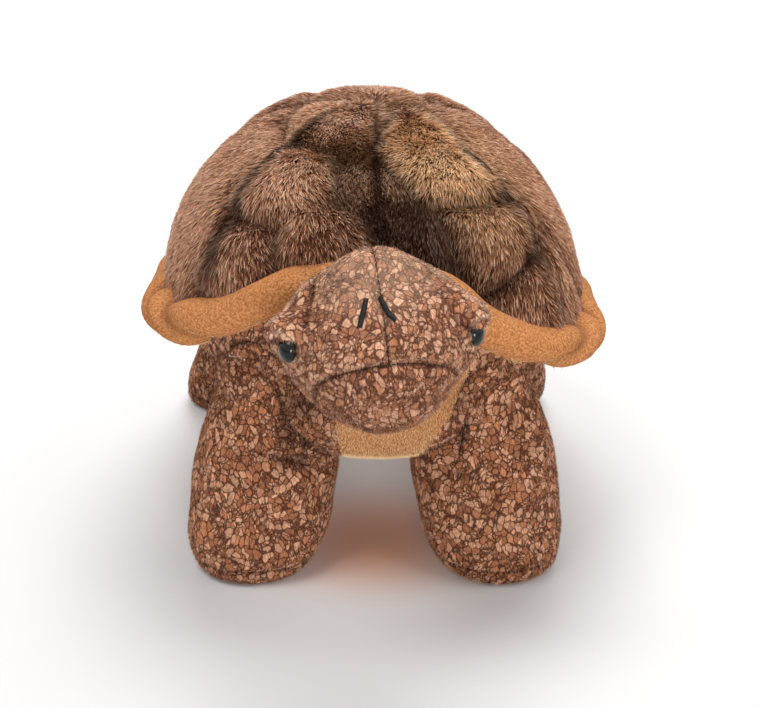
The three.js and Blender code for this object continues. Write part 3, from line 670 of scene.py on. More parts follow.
PEBBLES_ON_HEAD, PEBBLES_ON_LEGS = 430.0, 380.0  # per metre
HEAD_TONES = paint(210, 160, 130), paint(186, 128, 94), paint(164, 110, 82), paint(82, 42, 29)
LEG_TONES = paint(206, 154, 122), paint(184, 122, 86), paint(162, 104, 73), paint(70, 33, 22)
HEAD_PRINT = printed("printed_nap_head", *HEAD_TONES, PEBBLES_ON_HEAD)
LEG_PRINT = printed("printed_nap_legs", *LEG_TONES, PEBBLES_ON_LEGS)
HEAD_FUZZ = printed("printed_fuzz_head", *HEAD_TONES, PEBBLES_ON_HEAD, strand=True)
LEG_FUZZ = printed("printed_fuzz_legs", *LEG_TONES, PEBBLES_ON_LEGS, strand=True)
BROWN_GROUND = ground("brown_pile_ground", paint(44, 20, 13), paint(84, 44, 28))
CARAMEL_GROUND = ground("caramel_plush_ground", paint(164, 100, 58), paint(214, 150, 96))
# Strand colours from root to tip: the pale tip stands for a painted highlight
BROWN_TONES = {"Root": (26, 7, 3), "Middle": (112, 56, 35), "Other": (226, 152, 108), "Tip": (255, 242, 218),
               "Golden": (250, 190, 124)}
CARAMEL_TONES = {"Root": (140, 76, 42), "Middle": (196, 128, 82), "Other": (242, 186, 134),
                 "Tip": (255, 236, 194), "Golden": (255, 218, 164)}
BROWN_PILE = pile("brown_pile", BROWN_TONES, 1.0, rough=0.42, specular=0.45)
CARAMEL_PILE = pile("caramel_pile", CARAMEL_TONES, 0.8, rough=0.8, specular=0.15)


# %% Plain finishes
def speckled(name, low, high, rough, scale, depth, coat=0.0):
    """A finish with a slight speckle in its colour and surface."""
    made, tree, shader = finish(name, rough, 0.3)
    grain = noise(tree, add(tree, "ShaderNodeTexCoord").outputs["Object"], scale, 2.0)[0]
    tree.links.new(mix(tree, span(tree, grain, 0.35, 0.65), low, high), shader.inputs["Base Color"])
    roughen(tree, shader, grain, 0.4, depth)
    shader.inputs["Coat Weight"].default_value = coat
    shader.inputs["Coat Roughness"].default_value = 0.04
    return made


EYE_GLOSS = speckled("eye_gloss", paint(2, 2, 3), paint(6, 7, 10), 0.05, 900.0, 0.00001, 0.1)
THREAD = speckled("black_thread", paint(8, 8, 8), paint(24, 22, 22), 0.4, 2600.0, 0.0002)
SEAM_THREAD = speckled("brown_thread", paint(26, 13, 9), paint(48, 26, 18), 0.7, 2600.0, 0.0002)
WASHER = speckled("washer_plastic", paint(228, 226, 220), paint(238, 236, 231), 0.45, 700.0, 0.00005)
WADDING = speckled("wadding_fibre", paint(226, 222, 212), paint(246, 244, 238), 0.95, 420.0, 0.002)
print(len(bpy.data.materials), "finishes")


# %% [markdown]
# ## Strands
# A strand is a narrow leaf of one or two faces that tapers to a point. Real pile is finer than a
# picture element here, so a leaf stands for a few fibres. Their roots are scattered evenly over a
# cloth's faces by area, and their lean, length and tone vary together over a few millimetres,
# because neighbouring fibres cling to each other in locks.


# %% Scatter roots and grow strands
DOWN = np.array([0, 0, -1.0])


def scatter(points, faces, per_square_mm, draw, values):
    """Roots spread over faces by area: their points, normals and values."""
    corners = [[0, 1, 2], [0, 2, 3]][: faces.shape[1] - 2]
    triangles = np.concatenate([faces[:, corner] for corner in corners])
    a, b, c = (points[triangles[:, k]] for k in range(3))
    cross = np.cross(b - a, c - a)
    area = size_of(cross) / 2
    count = int(area.sum() * per_square_mm)
    pick = draw.choice(len(triangles), count, p=area / area.sum())
    u, v = np.sqrt(draw.random(count)), draw.random(count)
    weights = np.stack([1 - u, u * (1 - v), u * v], axis=-1)
    at = np.einsum("nk,nkd->nd", weights, points[triangles[pick]])
    found = {key: np.einsum("nk,nk->n", weights, value[triangles[pick]]) for key, value in values.items()}
    return at, unit(cross[pick]), found


def grow(name, roots, ways, lengths, widths, droop, finish_of, draw, masks, bent=True):
    """Strands as one mesh: leaves with a bend half way, or plain points."""
    count = len(roots)
    side = unit(np.cross(ways, unit(draw.normal(size=(count, 3)))))
    half = side * (widths / 2)[:, None]
    if bent:
        knee = roots + ways * (lengths * 0.5)[:, None]
        tip = knee + unit(ways + droop) * (lengths * 0.5)[:, None]
        rows = [roots - half, roots + half, knee + half * 0.8, knee - half * 0.8, tip]
        leaf, along = [[0, 1, 2, 3], [3, 2, 4]], [0, 0, 0.5, 0.5, 1.0]
        flat = np.array([[0.1, 0.1], [0.9, 0.1], [0.85, 0.5], [0.15, 0.5], [0.5, 0.95]])
    else:
        rows = [roots - half, roots + half, roots + unit(ways + droop) * lengths[:, None]]
        leaf, along = [[0, 1, 2]], [0, 0, 1.0]
        flat = np.array([[0.1, 0.1], [0.9, 0.1], [0.5, 0.95]])
    faces = [np.arange(count)[:, None] * len(rows) + np.array([corners]) for corners in leaf]
    each = len(rows)
    points = np.stack(rows, axis=1).reshape(-1, 3)
    points[:, 2] = np.maximum(points[:, 2], 0)  # on the floor the strands lie down
    carried = {key: np.repeat(value, each, axis=0) for key, value in masks.items()}
    carried["along"] = np.tile(along, count)
    carried["place"] = np.repeat(metres(roots), each, axis=0)
    piece = build(name, points, faces, finish_of, carried, smooth=False)
    side_count = math.ceil(math.sqrt(count))
    cell = np.stack([np.arange(count) % side_count, np.arange(count) // side_count], axis=-1)
    spots = [((cell[:, None, :] + flat[corners][None]) / side_count).reshape(-1, 2) for corners in leaf]
    layer = piece.data.uv_layers.new(name="OFBake")
    layer.data.foreach_set("uv", np.concatenate(spots).astype(np.float32).ravel())
    return piece


# %% [markdown]
# ## Shell
# The real shell is a quilted dome of long pile. Five panels meet in seams, and lines of stitching
# between the scutes pull the cloth down, so each scute swells like a small cushion. The ground
# cloth is a fine grid on the dome's formula, and the pile leans downhill, swirling a little.

# %% Shell cloth and its pile
# The plan angles between which each panel lies
PANELS = {
    "front_left": (-137, -88), "front_right": (-88, -43), "right": (-43, 50), "rear": (50, 130), "left": (130, 223),
}
SHEET_STEP, SHEET_ROWS, SHEET_EDGE = 0.9, 72, 0.1
FRONT_SEAM = -88
PILE_DEPTH, PILE_LIFT = 2.0, 1.6
PILE_LENGTH, SMOOTH_SHORTER = 4.7, 1.3
FUR_PER_SQUARE_MM = 4.6
FUR_WIDER = 1
# A cushion where the pile turns golden, and a valley where shade is painted: plan angle and climb
GOLD_SCUTE, SHADED_VALLEY = (-66, 58), (-78, 28)
# Patches of painted light and shade on the pile: plan angle, climb, spread and change of tone
PAINTED_LIGHT_AND_SHADE = [
    (-103, 20, 0.2, -0.3), (-110, 72, 0.25, 0.32), (-64, 57, 0.32, 0.42), (-57, 33, 0.22, -0.3),
    (-44, 16, 0.22, -0.2), (0, 40, 0.7, -0.12), (-127, 20, 0.2, -0.1), (-155, 35, 0.45, 0.3), (-112, 49, 0.22, 0.16),
]


def shell_sheet(start, end):
    """A grid over one panel: its points and faces, and masks for its finish and its pile."""
    columns = int((end - start) / SHEET_STEP)
    inside = np.linspace(start + SHEET_EDGE, end - SHEET_EDGE, columns)
    angle, climb = spread(inside, np.linspace(-3, 89.6, SHEET_ROWS))
    way = aim(angle, climb)
    flat = np.cos(np.radians(climb)) * 1.6  # millimetres to a degree of plan angle

    def away(at_angle, at_climb):
        return size_of(way - aim(np.array(at_angle), np.array(at_climb)))

    side = wrapped(angle + 90)
    smooth = np.maximum(ease(-side, 44, 51), ease(side, 48, 58))
    _, depth = shell_skin(angle, climb)
    points, depth = shell_skin(angle, climb, PILE_DEPTH - PILE_LIFT * (1 - depth) * (1 - smooth))
    to_gold, to_valley = away(*GOLD_SCUTE), away(*SHADED_VALLEY)
    gold_and_highlight = 0.9 * bump(to_gold, 0.3) * (1 - 0.7 * depth) + 0.25 * bump(to_gold, 0.6)
    # Shade is painted into the creases, along the front seam, in the gaps beside the side panels and in one valley
    seam = bump((angle - FRONT_SEAM) * flat, 1.2) * ease(climb, 25, 32)
    gap = 0.9 * bump(side + 43.5, 3.4) * ease(climb, 4, 24) + 0.5 * bump(side - 50, 3.5)
    fold = np.clip(depth**1.6 * 0.9 + 0.6 * seam + gap + 0.75 * bump(to_valley, 0.24), 0, 1)
    masks = {
        "fold": fold * (1 - 0.5 * smooth), "gold_and_highlight": np.clip(gold_and_highlight, 0, 1), "smooth": smooth, "depth": depth,
        "edge": bump(np.minimum(angle - start, end - angle) * flat, 3) * ease(climb, 88, 70),
        "shade": sum(change * bump(away(a, b), wide) for a, b, wide, change in PAINTED_LIGHT_AND_SHADE),
    }
    return points, grid_faces(SHEET_ROWS, columns), masks


def shell_lie(roots, normals, found, draw):
    """Which way each strand of the shell points, and which way is downhill there."""
    dome = unit((roots - (0, RIM_MIDDLE_Y, 92)) / (92.0**2, 108.0**2, 90.0**2))
    stand = unit(dome + 0.5 * normals)
    downhill = unit(np.cross(stand, np.cross(DOWN + 0 * stand, stand)))
    rough = 1 - found["smooth"]
    toward_seam = np.tanh(roots[:, 0] / 18) * rough * ease(-roots[:, 1], -10, 30)
    inward = np.array([-1.0, 0, 0]) * toward_seam[:, None]
    swirl = (wander(roots, 24, 3) * 0.4 + wander(roots, 5, 9) * 0.25) * (1 - 0.7 * found["smooth"])[:, None]
    swirl = swirl + draw.normal(size=roots.shape) * 0.13
    edge = found["edge"][:, None]
    ways = unit(stand * (0.32 + 0.6 * edge) + downhill * 0.75 + inward * 0.6 * (1 - edge) + swirl)
    # No strand dives into the cloth
    return unit(ways + normals * np.maximum(0, 0.3 - (ways * normals).sum(1))[:, None]), downhill


for number, (name, (start, end)) in enumerate(PANELS.items()):
    points, faces, masks = shell_sheet(start, end)
    cloth = build(f"shell_cloth_{name}", points, faces, BROWN_GROUND, {"fold": masks["fold"]})
    dress(thicken(cloth, PILE_CLOTH_DEPTH), [f"shell_{name}_panel"], "body")
    draw = np.random.default_rng(100 + number)
    roots, normals, found = scatter(points, faces, FUR_PER_SQUARE_MM, draw, masks)
    ways, downhill = shell_lie(roots, normals, found, draw)
    count, smooth = len(roots), found["smooth"]
    glint = (draw.random(count) < 0.22 - 0.1 * smooth).astype(float)
    lengths = PILE_LENGTH - SMOOTH_SHORTER * smooth + 0.7 * lumps(roots, 9, 5)
    lengths = lengths * draw.uniform(0.55, 1.15, count)
    widths = draw.uniform(0.12, 0.25, count) * FUR_WIDER * (1 + 0.5 * glint)
    locks = 0.2 * lumps(roots, 11, 21) + 0.2 * lumps(roots, 1.7, 25) * (1 - 0.7 * smooth)
    # Strands are darker down in the creases, as painted shade, and lighter or darker in the painted patches
    tone = 0.42 + 0.2 * smooth - 0.25 * found["depth"] + found["shade"] + locks
    tone = np.clip(tone + 0.2 * draw.normal(size=count) + 0.65 * glint, 0, 1)
    fur = grow(f"shell_pile_{name}", roots, ways, lengths * (1 + 0.08 * glint), widths, downhill * 0.6, BROWN_PILE,
               draw, {"fold": found["fold"], "tone": tone, "gold_and_highlight": found["gold_and_highlight"]})
    dress(fur, body="body")
    print(name, len(faces), "cloth faces,", count, "strands")


# %% [markdown]
# ## Rim
# A rolled tube of short plush runs all round the shell. It is stuffed lightly, so it is not an
# even tube: it swells and pinches, and it is pleated where it turns the front corners.

# %% Rim roll and its plush
# Plan angle, depth and width of each pleat
PLEATS = [
    (-150, 3.2, 2.2), (-139, 1.6, 3), (-29, 3.0, 2.2), (-41, 1.5, 3), (-98, 0.8, 4),
    (60, 1.2, 3), (122, 1.2, 3), (178, 1.0, 3), (5, 1.0, 3),
]
RIM_TURNS, RIM_STEPS = np.arange(0, 360, 1.0), np.arange(0, 360, 10.0)


def rim_skin(angle, around, inset=0.0):
    """Points on the rolled rim and how deep each lies in a pleat."""
    middle = rim_line(angle)
    along = unit(rim_line(angle + 2) - rim_line(angle - 2))
    out = unit(np.stack([along[:, 1], -along[:, 0], 0 * angle], axis=-1))
    up = np.cross(out, along)
    up *= np.sign(up[:, 2])[:, None]
    c, s = heading(around)
    depth = np.zeros_like(angle)
    for at, sink, width in PLEATS:
        skew = 7 * np.sin(np.radians(around)) * np.sign(np.cos(np.radians(at)))
        off = wrapped(angle - at - skew)
        depth += sink * bump(off, width) - 0.45 * sink * bump(np.abs(off) - 2.6 * width, 1.6 * width)
    base = middle + out * (RIM_HALF_DEPTH * c)[:, None] + up * (RIM_HALF_HEIGHT * s)[:, None]
    sink = depth + 0.5 + 0.8 * lumps(base, 26, 4) + 0.35 * lumps(base, 9, 8) + inset
    points = base - (out * c[:, None] + up * s[:, None]) * sink[:, None]
    return points, np.clip(depth / 2.2, 0, 1)


around, angle = spread(RIM_STEPS, RIM_TURNS)
rim_points, rim_folds = rim_skin(angle, around)
rim_faces = grid_faces(len(RIM_TURNS), len(RIM_STEPS), True, True)
# The pleats' depth paints shade into them, on the cloth and on its plush
rim = build("rim_roll", rim_points, rim_faces, CARAMEL_GROUND, {"fold": rim_folds})
dress(rim, ["rim_cover"], "body")
inner, _ = rim_skin(angle, around, FILLING_INSETS["rim"])
wadding("rim_wadding", inner, rim_faces, "rim_stuffing", "body")


def short_pile(
    name, points, faces, masks, body, finish_of, density, length, seed, lie, width=0.24, glow=0.0
):
    """Short plush strands over a cloth, leaning along lie, with small swirls."""
    draw = np.random.default_rng(seed)
    roots, normals, found = scatter(points, faces, density, draw, masks)
    ways = unit(normals + lie * 0.7 + wander(roots, 6, seed) * 0.4 + draw.normal(size=roots.shape) * 0.2)
    lengths = length * draw.uniform(0.7, 1.15, len(roots))
    widths = width * draw.uniform(0.7, 1.3, len(roots))
    clumps = 0.2 * lumps(roots, 5, seed + 7) + 0.4 * lumps(roots * (1, 1, 0.4), 1.2, seed + 9)
    found["tone"] = np.clip(0.5 + clumps + 0.22 * draw.normal(size=len(roots)), 0, 1)
    # A painted highlight: strands on upward faces turn golden, and glow turns all of them golden, as painted light
    found["gold_and_highlight"] = np.clip(glow + 0.9 * ease(normals[:, 2], -0.1, 0.75), 0, 1)
    # Some fuzz tips get the painted sheen
    if "painted_sheen" in found:
        found["painted_sheen"] = np.clip(found["painted_sheen"] * 1.7 * (draw.random(len(roots)) < 0.4), 0, 1)
    fuzz = grow(name, roots, ways, lengths, widths, lie * 0.3, finish_of, draw, found, bent=False)
    dress(fuzz, body=body)
    print(name, len(roots), "strands")
    return fuzz


short_pile("rim_plush", rim_points, rim_faces, {"fold": rim_folds}, "body", CARAMEL_PILE,
           density=4.5, length=2.3, seed=11, lie=DOWN)

# %% [markdown]
# ## Belly
# Below the rim a bowl of caramel plush closes the body. Only its chest shows between the front
# legs. On each side of it the shoulder is cut from the printed nap, sewn to the belly in a seam.

# %% Belly and shoulders
BELLY_FOOT, SHOULDER_SEAM = 49, 66
# Share of the height, and shares of the rim's reach across and along
BELLY = [(0, 0.4, 0.56), (0.03, 0.5, 0.72), (0.12, 0.57, 0.86), (0.3, 0.64, 0.94), (0.55, 0.74, 0.97),
         (0.8, 0.88, 0.98), (1, 0.97, 0.97)]
SHOULDERS = {"left": (-163, -105), "right": (-71, -17)}  # the plan angles between which each lies
# The chest's right edge leans: heights and plan angles
CHEST_SLANT = ([49, 56, 68, 80], [-74, -71, -67, -63])


def belly_skin(angle, up, inset=0.0):
    """Points on the bowl at plan angles and shares of its height."""
    rim = rim_line(angle)
    across, along = (read_table([(row[0], row[k]) for row in BELLY], up, 0.02) for k in (1, 2))
    wide, long = across * rim[:, 0], along * (rim[:, 1] - RIM_MIDDLE_Y)
    length = np.hypot(wide, long)
    keep = (length - inset) / np.maximum(length, 1e-6)
    z = BELLY_FOOT + inset + (rim[:, 2] - BELLY_FOOT - inset) * up
    return np.stack([wide * keep, RIM_MIDDLE_Y + long * keep, z], axis=-1)


HIP_CLIMBS = (-20, 5, 30)
# Share of the hip's height, and share of the half sizes
LEG_GIRTHS = [(0, 0.62), (0.022, 0.76), (0.09, 0.88), (0.22, 0.96), (0.48, 1), (0.68, 0.95), (0.84, 0.85)]
SOLE_HEIGHT = 8
# Hip, foot, half sizes across and along, and the hip's radius
LEGS = {
    "front_left": ((-40, -60, 88), (-52, -68), (30.5, 27), 25),
    "front_right": ((40, -60, 88), (52, -68), (30.5, 27), 25),
    "hind_left": ((-44, 66, 76), (-73, 96), (28, 27), 17),
    "hind_right": ((44, 66, 76), (62, 96), (28, 27), 17),
}


def leg_rows(name):
    """Heights and half sizes of a leg, from the floor to the top of its hip."""
    hip, _, (wide, deep), radius = LEGS[name]
    rows = [(share * hip[2], wide * girth, deep * girth) for share, girth in LEG_GIRTHS]
    for climb in HIP_CLIMBS:
        c, s = heading(climb)
        rows.append((hip[2] + radius * s, radius * c, radius * c))
    return np.array(rows)


def leg_section(name, height, soft=1.6):
    """Middle and half sizes of a leg's section at heights above the floor."""
    hip, foot, _, radius = LEGS[name]
    levels, *sizes = leg_rows(name).T
    steps = (-soft, 0, soft)
    wide, deep = (sum(np.interp(height + step, levels, size) for step in steps) / 3 for size in sizes)
    share = np.minimum(1, height / (hip[2] + radius * math.sin(math.radians(HIP_CLIMBS[0]))))
    return foot[0] + (hip[0] - foot[0]) * share, foot[1] + (hip[1] - foot[1]) * share, wide, deep


def leg_opening(points):
    """How far out points lie from the nearest leg's middle: 1 on its skin, less inside."""
    share, push = np.full(len(points), 9.0), np.zeros_like(points)
    for name in LEGS:
        x, y, wide, deep = leg_section(name, points[:, 2])
        off = np.stack([(points[:, 0] - x) / wide, (points[:, 1] - y) / deep, 0 * x], axis=-1)
        far = size_of(off) + 9 * (points[:, 2] > leg_rows(name)[-1, 0])
        near = far < share
        share = np.where(near, far, share)
        push[near] = (off / far[:, None] * np.stack([wide, deep, 0 * wide], axis=-1))[near]
    return share, push


def make_room(points, faces, tuck):
    """Moves points out of the legs, and tells which faces stay and how far out the points lay."""
    share, push = leg_opening(points)
    return points + push * ((tuck - share) * (share < tuck))[:, None], share[faces].max(1) > tuck, share


CHEST_LIFT = 7


def belly_cloth(angle, up, inset=0.0):
    """Points on the belly with its swells, raised in front beside the chest, and the way out there."""
    points = belly_skin(angle, up)
    out = unit((points - (0, RIM_MIDDLE_Y, 95)) * (1, 0.8, 1))
    points = points + out * (0.8 * lumps(points, 22, 14) + 0.3 * lumps(points, 7, 15) - inset)[:, None]
    lift = CHEST_LIFT * (np.abs(points[:, 0]) / 45) ** 2
    points[:, 2] += lift * ease(points[:, 2], 70, 49) * ease(-points[:, 1], 50, 80)
    return points, out


# Where the sleeves are sewn on: plan angles and shares of height
ARMHOLES = {
    "left": [(-133, 0.8), (-127, 0.83), (-123, 0.81), (-120.5, 0.74), (-118.5, 0.68), (-117.5, 0.62),
             (-115, 0.56), (-113.5, 0.51)],
    "right": [(-63, 0.61), (-61.5, 0.69), (-58.5, 0.8), (-54.5, 0.88), (-49, 0.96)],
}
# Shadows painted on the shoulders under the head
HEAD_SHADOWS = [((-30, -90, 86), 12, 0.8), ((32, -90, 86), 8, 0.4)]  # place, spread and darkness
TUCK = 0.94  # how far into a leg the belly's cloth reaches, as a share of the leg's half size
BELLY_TURNS = np.arange(0, 360, 1.0)
BELLY_UPS = np.concatenate([[0.0, 0.008, 0.02], np.linspace(0.035, 1, 76)])
angle, up = spread(BELLY_TURNS, BELLY_UPS)
points, outward = belly_cloth(angle, up)
seams = np.zeros(len(points))
for marks in ARMHOLES.values():
    far, _ = near_line(points, belly_skin(*np.array(marks, float).T))
    points = points - outward * (1.0 * bump(far, 1.3) - 0.5 * bump(far - 3, 1.8))[:, None]
    seams = np.maximum(seams, 0.8 * bump(far, 1.3))
head_shadow = sum(dark * bump(size_of(points - at), wide) for at, wide, dark in HEAD_SHADOWS)
faces = grid_faces(len(BELLY_UPS), len(BELLY_TURNS), True)
points, kept, open_share = make_room(points, faces, TUCK)
# Shade is painted where the belly tucks into the legs and under the head, with the dark armhole seams
folds = np.clip(np.maximum(bump(open_share - TUCK, 0.09) * (points[:, 2] > 50), seams) + head_shadow, 0, 1)
# Which faces belong to which shoulder, told by their middles. Faces across the zero angle come
# out at the back, but no shoulder lies at either place.
middle_angle = wrapped(angle[faces].mean(1))
middle_height = points[faces][:, :, 2].mean(1)
shoulder = np.zeros(len(faces), int)
for number, (start, end) in enumerate(SHOULDERS.values()):
    foot = np.where(np.abs(middle_angle + 90) < 40, BELLY_FOOT, SHOULDER_SEAM)
    first = np.interp(middle_height, *CHEST_SLANT) if number else start
    shoulder[(middle_angle > first) & (middle_angle < end) & (middle_height > foot)] = number + 1
bottom = np.arange(len(BELLY_TURNS))
base = fan(bottom, len(points))
points, folds = np.vstack([points, points[bottom].mean(0)]), np.append(folds, 0)

sheet, (sides, base), fold = without_spares(points, [faces[(shoulder == 0) & kept], base], folds)
belly = build("belly_cloth", sheet, [sides, base], CARAMEL_GROUND, {"fold": fold})
dress(thicken(belly), ["belly_cover"], "body")
# The belly's plush is golden all over by its glow, a painted light on the chest
short_pile("belly_plush", sheet, sides, {"fold": fold}, "body", CARAMEL_PILE,
           density=5.0, length=1.6, seed=12, lie=DOWN, width=0.2, glow=0.95)

# %% The filling of the body
FILLING_ROOM = 1.04  # how far from a leg's middle it stays, as a share of the leg's half size
turns = np.arange(0, 360, 2.0)
low, _ = belly_cloth(*spread(turns, np.linspace(0, 0.97, 48)), FILLING_INSETS["belly"])
high, _ = shell_skin(*spread(turns, np.linspace(3, 88, 44)), FILLING_INSETS["shell"])
filling, (sides, ends) = capped(np.vstack([low, high]), len(turns))
filling, stay, _ = make_room(filling, sides, FILLING_ROOM)
filling, parts = without_spares(filling, [sides[stay], ends])
wadding("body_wadding", filling, parts, "body_stuffing", "body")
print("body_wadding", len(filling), "points")

# %% Shoulders
for number, side in enumerate(SHOULDERS):
    sheet, (sides,), fold = without_spares(points, [faces[(shoulder == number + 1) & kept]], folds)
    cloth = build(f"shoulder_cloth_{side}", sheet, sides, LEG_PRINT, {"fold": fold})
    dress(thicken(cloth), [f"shoulder_{side}_cover"], "body")
    short_pile(f"shoulder_fuzz_{side}", sheet, sides, {"fold": fold, "painted_sheen": 0 * fold + PLAIN_SHEEN},
               "body", LEG_FUZZ,
               density=2.4, length=1.2, seed=20 + number, lie=DOWN, width=0.2)

# %% [markdown]
# ## Legs
# Each leg is a stout stuffed tube of printed nap. A sole cup is sewn on above the floor, and the
# tube runs up under the shoulder.

# %% Leg sleeves and sole cups
def bend_leg(piece, name):
    """Bakes where a piece of a leg stands into its mesh."""
    x, y, _ = metres(LEGS[name][0])
    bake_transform(piece)


def leg_skin(name, turn, height):
    """Points on a leg at angles round it and heights above the floor."""
    x, y, wide, deep = leg_section(name, height)
    c, s = heading(turn)
    return np.stack([x + wide * c, y + deep * s, height], axis=-1)


def leg_line(name, marks):
    """A line on a leg through (angle, height) marks."""
    marks = np.array(marks, float)
    return leg_skin(name, marks[:, 0], marks[:, 1])


# Darts and folds: angles and heights along each, its depth, its width and the swell beside it
LEG_FOLDS = {
    "front_left": [
        ([(306, 77), (304, 68), (301.5, 56)], 4.2, 1.5, 1.4),
        ([(262, 61), (284, 57.5), (301, 55), (318, 53)], 2.6, 2.4, 2.6),
        ([(320, 78), (317, 62)], 3.4, 6.5, 0), ([(287, 80), (290, 63)], 3.4, 6.5, 0),
    ],
    "front_right": [
        ([(258.5, 90), (256.5, 74), (253, 64), (250, 59)], 2.2, 1.4, 0.9),
        ([(236, 53), (250, 51.5), (262, 53)], 1.6, 1.6, 1.0),
        ([(245, 80), (243, 67)], 3.6, 7.0, 0), ([(249.5, 57), (250.5, 57)], -2.0, 2.6, 0),
    ],
    "hind_left": [([(250, 66), (256, 50)], 1.4, 1.8, 0.6)],
    "hind_right": [([(290, 66), (284, 50)], 1.4, 1.8, 0.6)],
}


def leg_cloth(name, turn, height, inset=0.0):
    """Points of a leg's cloth with its darts and swells, how much shade is painted on each in a fold, and how much
    sheen.
    """
    points = leg_skin(name, turn, height)
    c, s = heading(turn)
    out = np.stack([c, s, 0 * c], axis=-1)
    seed = list(LEGS).index(name)
    seam = bump(height - SOLE_HEIGHT, 0.8)
    sink = 0.6 * seam - 0.9 * lumps(points, 20, 40 + seed) - 0.35 * lumps(points, 8, 50 + seed)
    # Shade is painted along the sole's seam, and a sheen on its lip above
    fold, painted_sheen = 0.7 * seam, PLAIN_SHEEN + 0.35 * bump(height - SOLE_HEIGHT - 1.5, 0.8)
    for marks, depth, width, proud in LEG_FOLDS[name]:
        far, along = near_line(points, leg_line(name, marks))
        fade = 0.4 + 0.6 * np.sin(np.pi * np.clip(along, 0.04, 0.96))
        sink = sink + fade * (depth * bump(far, width) - proud * bump(far - 2.4 * width, 1.3 * width))
        # Darts get painted shade, and puffs a painted sheen
        if depth > 0:
            fold = np.maximum(fold, 0.95 * fade * bump(far, 0.9 * width) * min(1, depth / 2.4))
        else:
            painted_sheen = np.maximum(painted_sheen, bump(far, width))
    return points - out * (sink * ease(height, 0, 6) + inset)[:, None], np.clip(fold, 0, 1), painted_sheen


LEG_TURNS = np.arange(0, 360, 1.5)
SOLE_ROWS = np.array([0, 0.4, 1.2, 2.2, *np.linspace(3.6, SOLE_HEIGHT - 0.1, 5)])
FILLING_TURNS = np.arange(0, 360, 3.0)
ring = np.arange(len(LEG_TURNS))
cut = (len(SOLE_ROWS) - 1) * len(ring)
for number, name in enumerate(LEGS):
    top = leg_rows(name)[-1, 0]
    heights = np.concatenate([SOLE_ROWS, np.linspace(SOLE_HEIGHT + 0.1, top, 110)])
    points, fold, painted_sheen = leg_cloth(name, *spread(LEG_TURNS, heights))
    faces = grid_faces(len(heights), len(ring), True)
    points, fold, painted_sheen = np.vstack([points, points[ring].mean(0)]), np.append(fold, 0), np.append(painted_sheen, 0)
    sole, sleeve = [faces[:cut], fan(ring, len(points) - 1)], [faces[cut + len(ring):]]
    halves = (("sole", "foot", sole, f"leg_{name}"), ("sleeve", "cover", sleeve, None))
    for piece, node, parts, body in halves:
        sheet, parts, folds, painted_sheens = without_spares(points, parts, fold, painted_sheen)
        cloth = thicken(build(f"leg_{piece}_{name}", sheet, parts, LEG_PRINT, {"fold": folds}))
        dress(cloth, [f"leg_{name}_{node}"], body)
        fuzz = short_pile(f"leg_fuzz_{piece}_{name}", sheet, parts[0], {"fold": folds, "painted_sheen": painted_sheens},
                          body, LEG_FUZZ,
                          density=2.4, length=1.1, seed=30 + number, lie=DOWN, width=0.2)
        if not body:
            bend_leg(cloth, name)
            bend_leg(fuzz, name)
    spots = spread(FILLING_TURNS, np.linspace(1.9, top - 0.6, 80))
    inner, _, _ = leg_cloth(name, *spots, FILLING_INSETS["leg"])
    bend_leg(wadding(f"leg_wadding_{name}", *capped(inner, len(FILLING_TURNS)), f"leg_{name}_stuffing"), name)
print(len(LEGS), "legs")

# %% [markdown]
# ## Head
# The head is a soft ball pulled into brows and cheeks by its pattern pieces: left and right
# halves that meet in a seam from the crown to the mouth, and a chin below the mouth seam. One
# fine ball is shaped by the head's formula and then cut along those seams.

# %% Head panels
HEAD_PLACE, HEAD_HALF, HEAD_ROUND = np.array([1.3, -144.5, 135.5]), np.array([34, 30.5, 30.7]), 2.04
HEAD_TURN = np.array(Euler([math.radians(turn) for turn in (4, -3.5, 7)], "XYZ").to_matrix())
# A way from the head's middle, how far round it a swell spreads, and its height as a share.
# Some are on both sides.
PAIRED_SWELLS = [
    (0.93, -0.155, 0.26, 0.205, 0.19), (0.9, -0.38, 0.14, 0.2, -0.05), (0.95, -0.25, -0.1, 0.25, 0.04),
    (0.68, -0.05, 0.834, 0.22, -0.066), (0.8, -0.45, -0.42, 0.35, -0.09),
]
MIDDLE_SWELLS = [
    (0, -0.98, 0.15, 0.4, 0.05), (0, 0.036, 1, 0.5, 0.174), (0, -0.6, -0.8, 0.45, 0.048), (0, 0.85, 0.6, 0.6, -0.12),
]
SWELLS = [(side * row[0], *row[1:]) for row in PAIRED_SWELLS for side in (1, -1)] + MIDDLE_SWELLS
MOUTH = np.array([0, -30, 6.0])
MOUTH_NORMAL = unit(np.array([0, 1.0, 1.0]))


def head_skin(ways, inset=0.0):
    """Points on the head, in its own upright millimetres, for directions from its middle."""
    ways = unit(ways)
    scaled = np.abs(ways / HEAD_HALF) ** HEAD_ROUND
    swell = np.ones(len(ways))
    for across, fore, up, wide, rise in SWELLS:
        swell += rise * bump(size_of(ways - unit(np.array([across, fore, up]))), wide)
    return ways * (scaled.sum(1) ** (-1 / HEAD_ROUND) * swell - inset)[:, None]


def on_head(points):
    """Turns and moves points from the head's own millimetres to the toy's."""
    return points @ HEAD_TURN.T + HEAD_PLACE


# %% Brows, lids and seams of the head
EYE_WAYS = {"left": (-0.925, -0.32, 0.2), "right": (0.94, -0.31, 0.155)}
